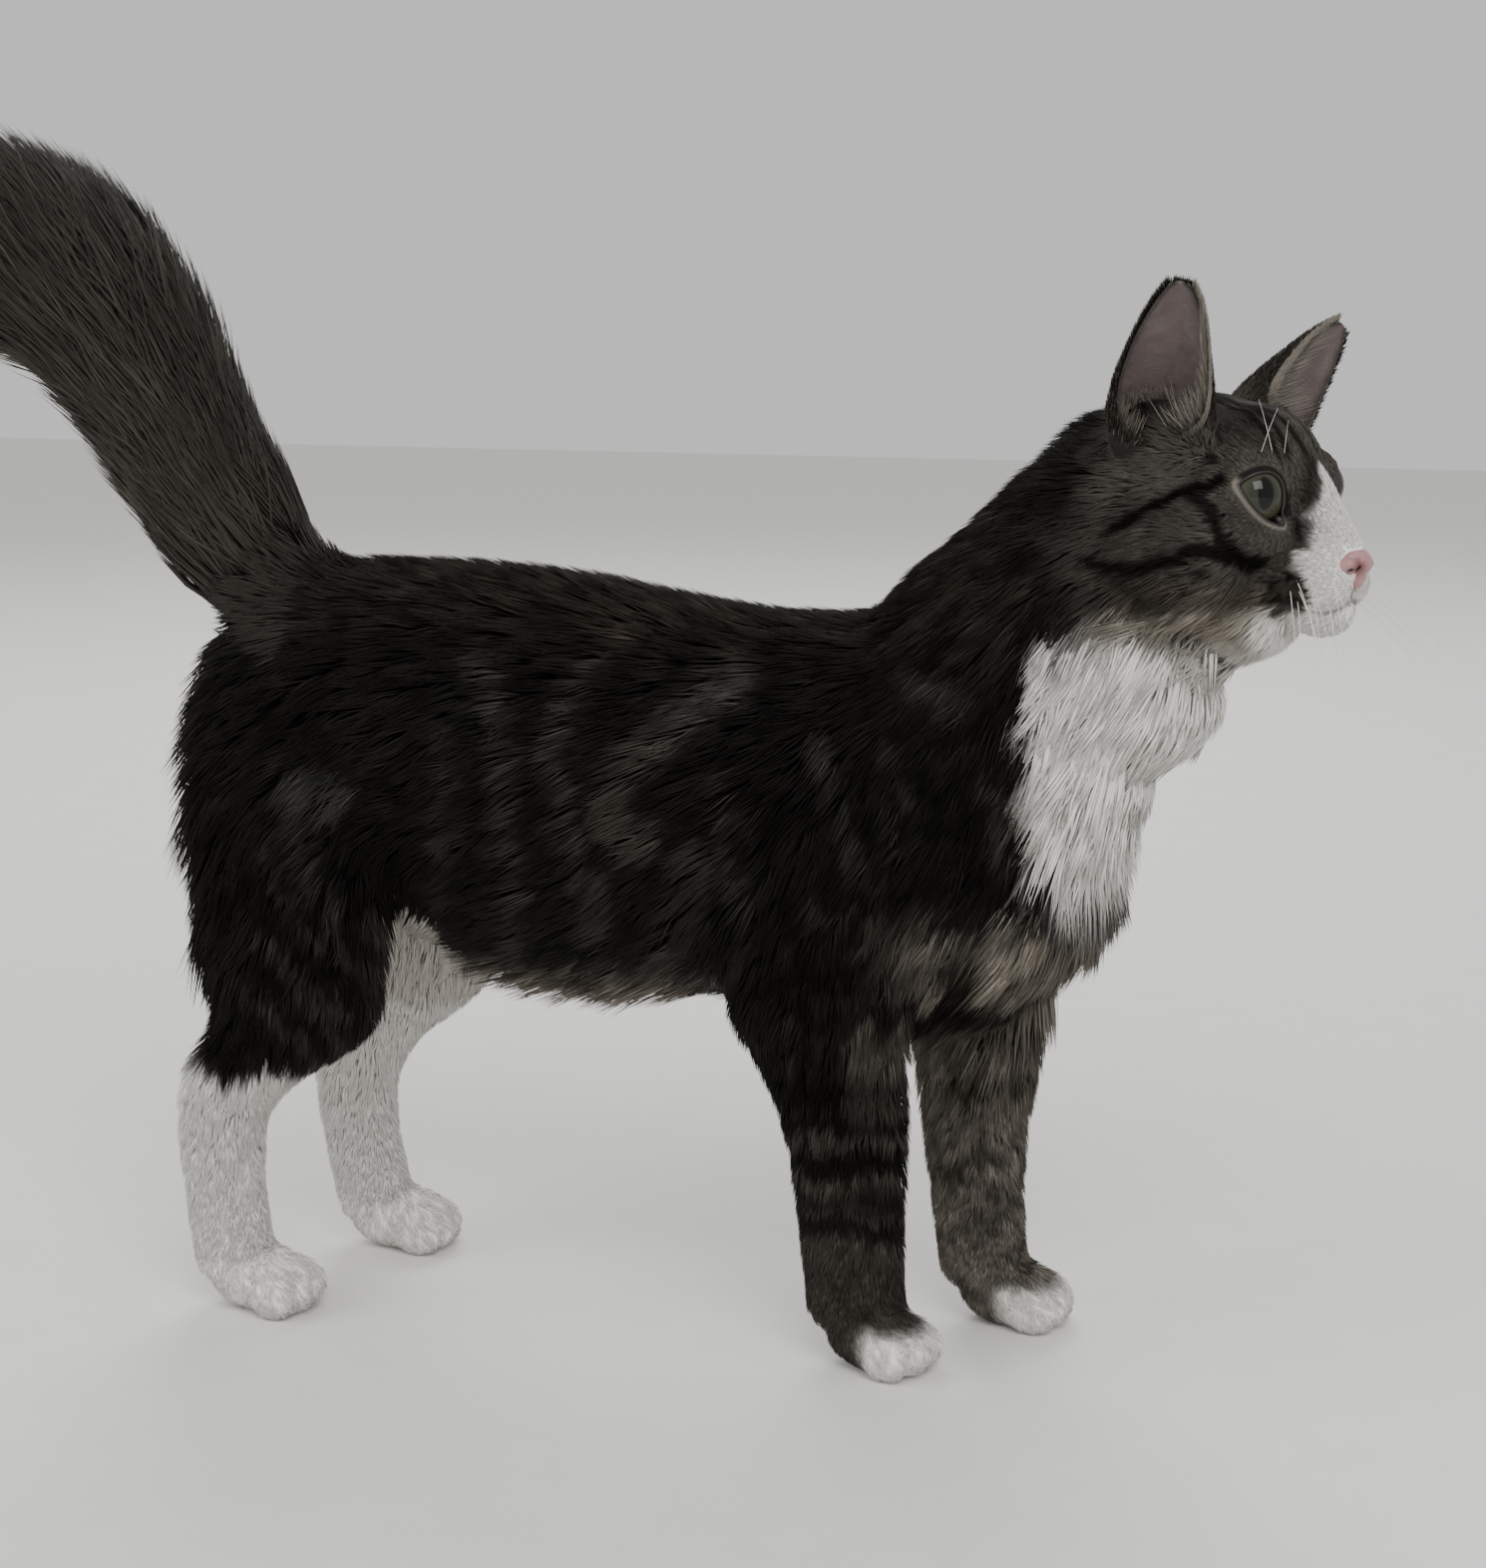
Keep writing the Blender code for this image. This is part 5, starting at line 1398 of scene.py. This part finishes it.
# The slit from the nostril back round the wing of the nose: way from the nostril, half axes
SLIT_WAY, SLIT_RADII = (-1.6, 2.4, -0.5), (2.4, 1.9, 0.5)
NOSE_VOXEL, NOSE_SMOOTHING = 0.32, 7
forms = [ball(on_head(centre), radii, HEAD_TURN, 32, 20) for centre, radii in NOSE_FORMS]
nose = melted(mesh_of("nose_leather", forms), NOSE_VOXEL, NOSE_SMOOTHING)
nostrils = [on_head((NOSTRIL[0], side * NOSTRIL[1], NOSTRIL[2])) for side in (RIGHT, LEFT)]
for side, spot in zip((RIGHT, LEFT), nostrils):
    turn = turned(HEAD_YAW + side * 0.6, side * -0.45)
    cut(nose, mesh_of("nostril", [ball(spot, NOSTRIL_RADII, turn, 20, 14)]))
    slit = on_head(np.add(NOSTRIL, SLIT_WAY) * (1, side, 1))
    turn = turned(HEAD_YAW + side * 0.9, side * -0.3)
    cut(nose, mesh_of("slit", [ball(slit, SLIT_RADII, turn, 20, 14)]))
# The leather is painted darker round and inside the nostrils: painted shade in their hollows.
inside = np.min([np.linalg.norm(mesh_points(nose.data) - spot, axis=1) for spot in nostrils], axis=0)
store(nose.data, "hollow", step(inside, 4.4, 1.0))
paint, shader, wire = finish_of("nose_skin", 0.36, Specular_IOR_Level=0.45)
stops = ((0.3, (0.34, 0.165, 0.165)), (0.7, (0.44, 0.245, 0.24)))
pink = wire.node("ShaderNodeValToRGB", {"stops": stops}, Fac=wire.noise(300.0, 3.0))
# The dark colour mixed in near the nostrils is painted shade.
feed(pink.mixed((0.12, 0.032, 0.035, 1.0), wire.mark("hollow") * 0.85), shader, "Base Color")
pebble = wire.node("ShaderNodeTexVoronoi", Vector=wire.node("ShaderNodeTexCoord", output=3), Scale=1500.0)
feed(wire.bump(pebble, 0.5, 0.00016), shader, "Normal")
nose.data.shade_smooth()
settled(nose, paint)
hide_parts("nose")


# The ears: thin upright cups of skin that open outwards, closed at the root and rounded at the tip. The back
# has short dark fur, the inside is nearly bare and pink-grey, and long pale hair grows from the front edge.
# Ears: side, root and tip of the axis on the head, the way the cup opens
EARS = (
    ("right_ear", RIGHT, (-8, -24.5, 12), (8.2, -42.5, 72), (0.55, -0.84, 0.0)),
    ("left_ear", LEFT, (-9, 25, 12), (14, 57, 57), (0.95, 0.10, 0.25)),
)
# Sections up the axis: share of the height, half width, half depth, how far round the cup its edge reaches
EAR_SECTIONS = (
    (0.00, 8.5, 5.0, 179),
    (0.10, 13.5, 7.8, 179),
    (0.19, 16.6, 9.6, 165),
    (0.27, 17.6, 10.2, 142),
    (0.36, 17.6, 10.2, 124),
    (0.47, 16.6, 9.4, 112),
    (0.60, 14.4, 8.0, 103),
    (0.75, 11.2, 6.2, 96),
    (0.88, 7.4, 4.2, 92),
    (0.96, 4.2, 2.6, 90),
    (1.00, 1.4, 1.2, 90),
)
EAR_THICK, EAR_ACROSS, EAR_UP = 1.2, 30, 40
# How much the rear and the front of the cup draw in halfway up
REAR_BOW, FRONT_BOW = -0.02, 0.23


class Ear:
    """One ear's axis, and the places on its cup by share of height and share round from the back's middle."""

    def __init__(self, side, foot, tip, facing):
        self.foot = on_head(foot)
        self.rise = on_head(tip) - self.foot
        self.up = unit(self.rise)
        out = HEAD_TURN @ np.array(facing)
        self.out = unit(out - self.up * (out @ self.up))
        self.front = np.cross(self.up, self.out) * -side

    def spots(self, height, share, lift=0.0):
        height, share = np.asarray(height, float), np.asarray(share, float)
        rows = spline(np.array(EAR_SECTIONS, float), 6)
        wide, deep, edge = (np.interp(height, rows[:, 0], rows[:, i]) for i in (1, 2, 3))
        turn = np.radians(edge) * share
        bow = 1 - np.where(share < 0, REAR_BOW, FRONT_BOW) * share * np.sin(np.pi * np.clip(height, 0, 1))
        aside = (wide * bow + lift)[..., None] * np.sin(turn)[..., None] * self.front
        back = (deep + lift)[..., None] * np.cos(turn)[..., None] * self.out
        return self.foot + height[..., None] * self.rise + aside - back

    def shell(self):
        """Points and faces of the closed, thin cup."""
        high = np.concatenate((np.linspace(0, 0.9, EAR_UP - 9), np.linspace(0.915, 1.0, 9)))
        across = np.sin(np.linspace(-1, 1, EAR_ACROSS) * math.pi / 2)
        height, share = np.meshgrid(high, across, indexing="ij")
        outer = self.spots(height, share)
        inner = self.spots(height, share * 0.985, -EAR_THICK)
        return np.concatenate((outer.reshape(-1, 3), inner.reshape(-1, 3))), height, share


def cup_faces(rows, columns):
    """Faces of two sheets of points joined round their edges."""
    sheet, faces = rows * columns, []
    for r in range(rows - 1):
        for k in range(columns - 1):
            a, d = r * columns + k, (r + 1) * columns + k
            b, c = a + 1, d + 1
            faces += [(a, b, c, d), (sheet + d, sheet + c, sheet + b, sheet + a)]
    edge = [k for k in range(columns)] + [r * columns + columns - 1 for r in range(1, rows)]
    edge += [(rows - 1) * columns + k for k in range(columns - 2, -1, -1)]
    edge += [r * columns for r in range(rows - 2, 0, -1)]
    for a, b in zip(edge, edge[1:] + edge[:1]):
        faces.append((b, a, sheet + a, sheet + b))
    return faces


def ear_finish():
    """Thin pink-grey skin with veins inside, painted darker low in the middle of the cup as painted shade, dark
    short fur outside and along the edges.
    """
    made, shader, wire = finish_of("ear_skin", 0.6, Specular_IOR_Level=0.25)
    vein = wire.noise(130.0, 5.0, Roughness=0.6, Distortion=1.2)
    stops = ((0.25, (0.100, 0.076, 0.073)), (0.5, (0.135, 0.106, 0.102)), (0.75, (0.172, 0.142, 0.136)))
    bare = wire.node("ShaderNodeValToRGB", {"stops": stops}, Fac=vein).shaded(1.0 - 0.2 * wire.mark("depth"))
    feed(bare.mixed((0.012, 0.010, 0.009, 1.0), wire.mark("furred")), shader, "Base Color")
    feed(wire.bump(wire.noise(1500.0, 3.0), 0.6, 0.0005), shader, "Normal")
    return made


HAIR_SINK, HAIR_SWAY = 0.4, 0.14


def hair_on(name, roots, normals, lie, length, rise, width, marks, spots, draw, rings):
    """A piece of free tufts on any surface, each a gently bent spindle that rises from its root."""
    count = len(roots)
    heading = unit(lie - normals * (lie * normals).sum(1, keepdims=True))
    heading = unit(heading + np.cross(normals, heading) * draw.normal(0, HAIR_SWAY, count)[:, None])
    shares = np.linspace(0, 1, rings + 2)
    path = np.stack([roots + heading * (length * t)[:, None]
                     + normals * ((rise + HAIR_SINK) * t ** 0.8 - HAIR_SINK)[:, None] for t in shares], 1)
    across = unit(np.cross(heading, normals))
    wide = width[:, None] * np.array((1.0, 0.7))[None, :rings]
    values = np.concatenate((marks, draw.random(count)[:, None]), 1)
    return tuft_mesh(name, path, across, wide, wide * 0.3, values, spots)


ear_paint = ear_finish()
for name, side, foot, tip, facing in EARS:
    ear = Ear(side, foot, tip, facing)
    points, height, share = ear.shell()
    rows, columns = height.shape
    cup = mesh_of(name + "_cup", [(points, cup_faces(rows, columns))])
    work = bmesh.new()
    work.from_mesh(cup.data)
    bmesh.ops.remove_doubles(work, verts=work.verts, dist=0.00002)
    bmesh.ops.recalc_face_normals(work, faces=work.faces)
    work.to_mesh(cup.data)
    work.free()
    places = mesh_points(cup.data)
    finder = KDTree(len(points))
    for i, point in enumerate(points.tolist()):
        finder.insert(point, i)
    finder.balance()
    origin = np.array([finder.find(point)[1] for point in places.tolist()])
    outside = origin < rows * columns
    flat_height, flat_share = np.tile(height.reshape(-1), 2)[origin], np.tile(share.reshape(-1), 2)[origin]
    edge = np.abs(flat_share) > 0.97
    store(cup.data, "furred", np.where(outside, 1.0, np.where(edge, 0.5, 0.0)))
    # The inside of the cup is painted darker towards its root and its middle: painted shade deep in the cup.
    depth = step(flat_height, 0.55, 0.1) * step(np.abs(flat_share), 1.0, 0.4)
    store(cup.data, "depth", np.where(outside, 0.0, depth))
    cup.data.shade_smooth()
    settled(cup, ear_paint)
    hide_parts(name)

    draw = np.random.default_rng(COAT_SEED + side)

    # Stretches of hair: label, how many, heights, shares round, lift off the sheet, lie (up, to the front edge,
    # out), length, rise, width, marks, outside (1) or inside (-1), rings in a tuft
    # The down inside the far (left) ear is painted paler than in the near ear: painted light on that ear's lit
    # inside.
    inside = 0.30 + 0.18 * side
    for label, count, heights, shares, lift, lie, length, rise, width, marks, outward, rings in (
        ("back_fur", 7000, (0.0, 0.97), (-0.98, 0.98), 0.0, (1, 0, 0), 3.6, 0.6, 0.42,
         (0.10, 0.6, 0.0, 0.0), 1, 1),
        ("edge_fur", 1500, (0.2, 0.97), (0.93, 1.0), 0.0, (1, -0.25, 0.1), 4.4, 0.7, 0.36,
         (0.9, 0.4, 0.3, 0.0), 1, 1),
        ("inner_hair", 420, (0.2, 0.72), (0.70, 0.98), -EAR_THICK, (0.9, -0.42, 0.2), 15.0, 2.4, 0.26,
         (1.0, 0.3, 0.3, 0.0), -1, 2),
        ("root_hair", 1000, (0.10, 0.30), (-0.95, 0.98), -EAR_THICK, (0.95, -0.15, 0.2), 7.0, 1.6, 0.28,
         (0.75, 0.6, 0.16, 0.0), -1, 2),
        ("down", 2900, (0.18, 0.96), (-0.97, 0.97), -EAR_THICK, (1, -0.1, 0), 3.0, 0.35, 0.24,
         (0.85, 0.4, inside, 0.0), -1, 1),
    ):
        high, around = draw.uniform(*heights, count), draw.uniform(*shares, count)
        roots = ear.spots(high, around, lift)
        normals = unit(ear.spots(high, around, lift + 1.0) - roots) * outward
        way = np.tile(ear.up, (count, 1)) * lie[0] + ear.front * lie[1] + ear.out * lie[2]
        marks = np.clip(np.array(marks)[None] + draw.normal(0, 0.06, (count, 4)) * (1, 1, 1, 0), 0, 1)
        if outward > 0:
            # The fur outside leans back and takes the head's marks near the ear's root
            way -= 0.35 * around[:, None] * ear.front
            low = (step(high, 0.42, 0.20) * step(around, -0.55, 0.0))[:, None]
            marks = marks * (1 - low) + markings(roots) * low
        spots = np.stack((0.5 + 0.2 * around * outward, high), 1)
        size = draw.uniform(0.7, 1.1, count) * (1 + 0.7 * step(high, 0.4, 0.15))
        piece = hair_on(f"{name}_{label}", roots, normals, way, length * size, rise * size,
                        np.full(count, width), marks, spots, draw, rings)
        settled(piece, coat_paint)


# The whiskers and the long hairs over the eyes: stiff, tapered white hairs, rooted in rows in the whisker pads
# and in a patch above each eye.
WHISKER_ROOTS = ((43, 9, -17), (39.5, 12, -17.5), (36, 14, -18), (44, 9, -19.5), (40.5, 12, -20.5),
                 (37, 14, -21), (33.5, 15, -21), (43, 9, -22.5), (39.5, 12, -23.5), (36, 14, -24))
WHISKER_LENGTH, WHISKER_RADIUS, WHISKER_SAG = (32, 52), 0.13, 0.30
# How far ahead and to the right the tips may reach
WHISKER_END, WHISKER_ASIDE = 230.0, 61.0
BROW_ROOTS = ((29, 12, 19.5), (26.5, 15, 20.5), (24, 18, 20))
BROW_LENGTH, BROW_RADIUS, BROW_SAG = (14, 22), 0.08, 0.15


def whisker(root, way, length, sag, radius):
    """A stiff hair that leaves the skin along a way and bends by its own weight."""
    steps = np.linspace(0, 1, 12)
    line = root + np.outer(steps, way) * length + np.outer(steps ** 2, (0, 0, -1)) * length * sag
    along = unit(np.gradient(line, axis=0))
    first = unit(np.cross(along, (0.3, 1.0, 0.2)))
    thick = radius * (1 - steps) ** 0.7 + 0.03
    return loft([(p, f * t, np.cross(a, f) * t) for p, a, f, t in zip(line, along, first, thick)], 5)


draw = np.random.default_rng(5)
hairs = []
for side in (RIGHT, LEFT):
    for i, (x, y, z) in enumerate(WHISKER_ROOTS):
        root = nearest_on_skin(on_head((x, side * y, z))[None])[0][0]
        way = HEAD_TURN @ unit((0.62 - 0.018 * i + draw.normal(0, 0.06), side * (0.70 + draw.normal(0, 0.06)),
                                -0.30 + 0.02 * (z + 17) + draw.normal(0, 0.08)))
        longest = min((WHISKER_END - root[0]) / max(way[0], 0.1),
                      (root[1] + WHISKER_ASIDE) / max(-way[1], 0.1))
        length = min(draw.uniform(*WHISKER_LENGTH), longest)
        hairs.append(whisker(root - way, way, length, WHISKER_SAG * draw.uniform(0.6, 1.3), WHISKER_RADIUS))
    for x, y, z in BROW_ROOTS:
        root = nearest_on_skin(on_head((x, side * y, z))[None])[0][0]
        way = HEAD_TURN @ unit((draw.normal(0.1, 0.2), side * draw.uniform(0.1, 0.5), 0.95))
        hairs.append(whisker(root - way, way, draw.uniform(*BROW_LENGTH), BROW_SAG, BROW_RADIUS))
whiskers = mesh_of("whiskers", hairs)
paint, shader, wire = finish_of("whisker_hair", 0.35, Specular_IOR_Level=0.4)
feed(wire.colour(0.80, 0.77, 0.70).shaded(0.9 + 0.15 * wire.noise(60.0, 1.0)), shader, "Base Color")
whiskers.data.shade_smooth()
settled(whiskers, paint)
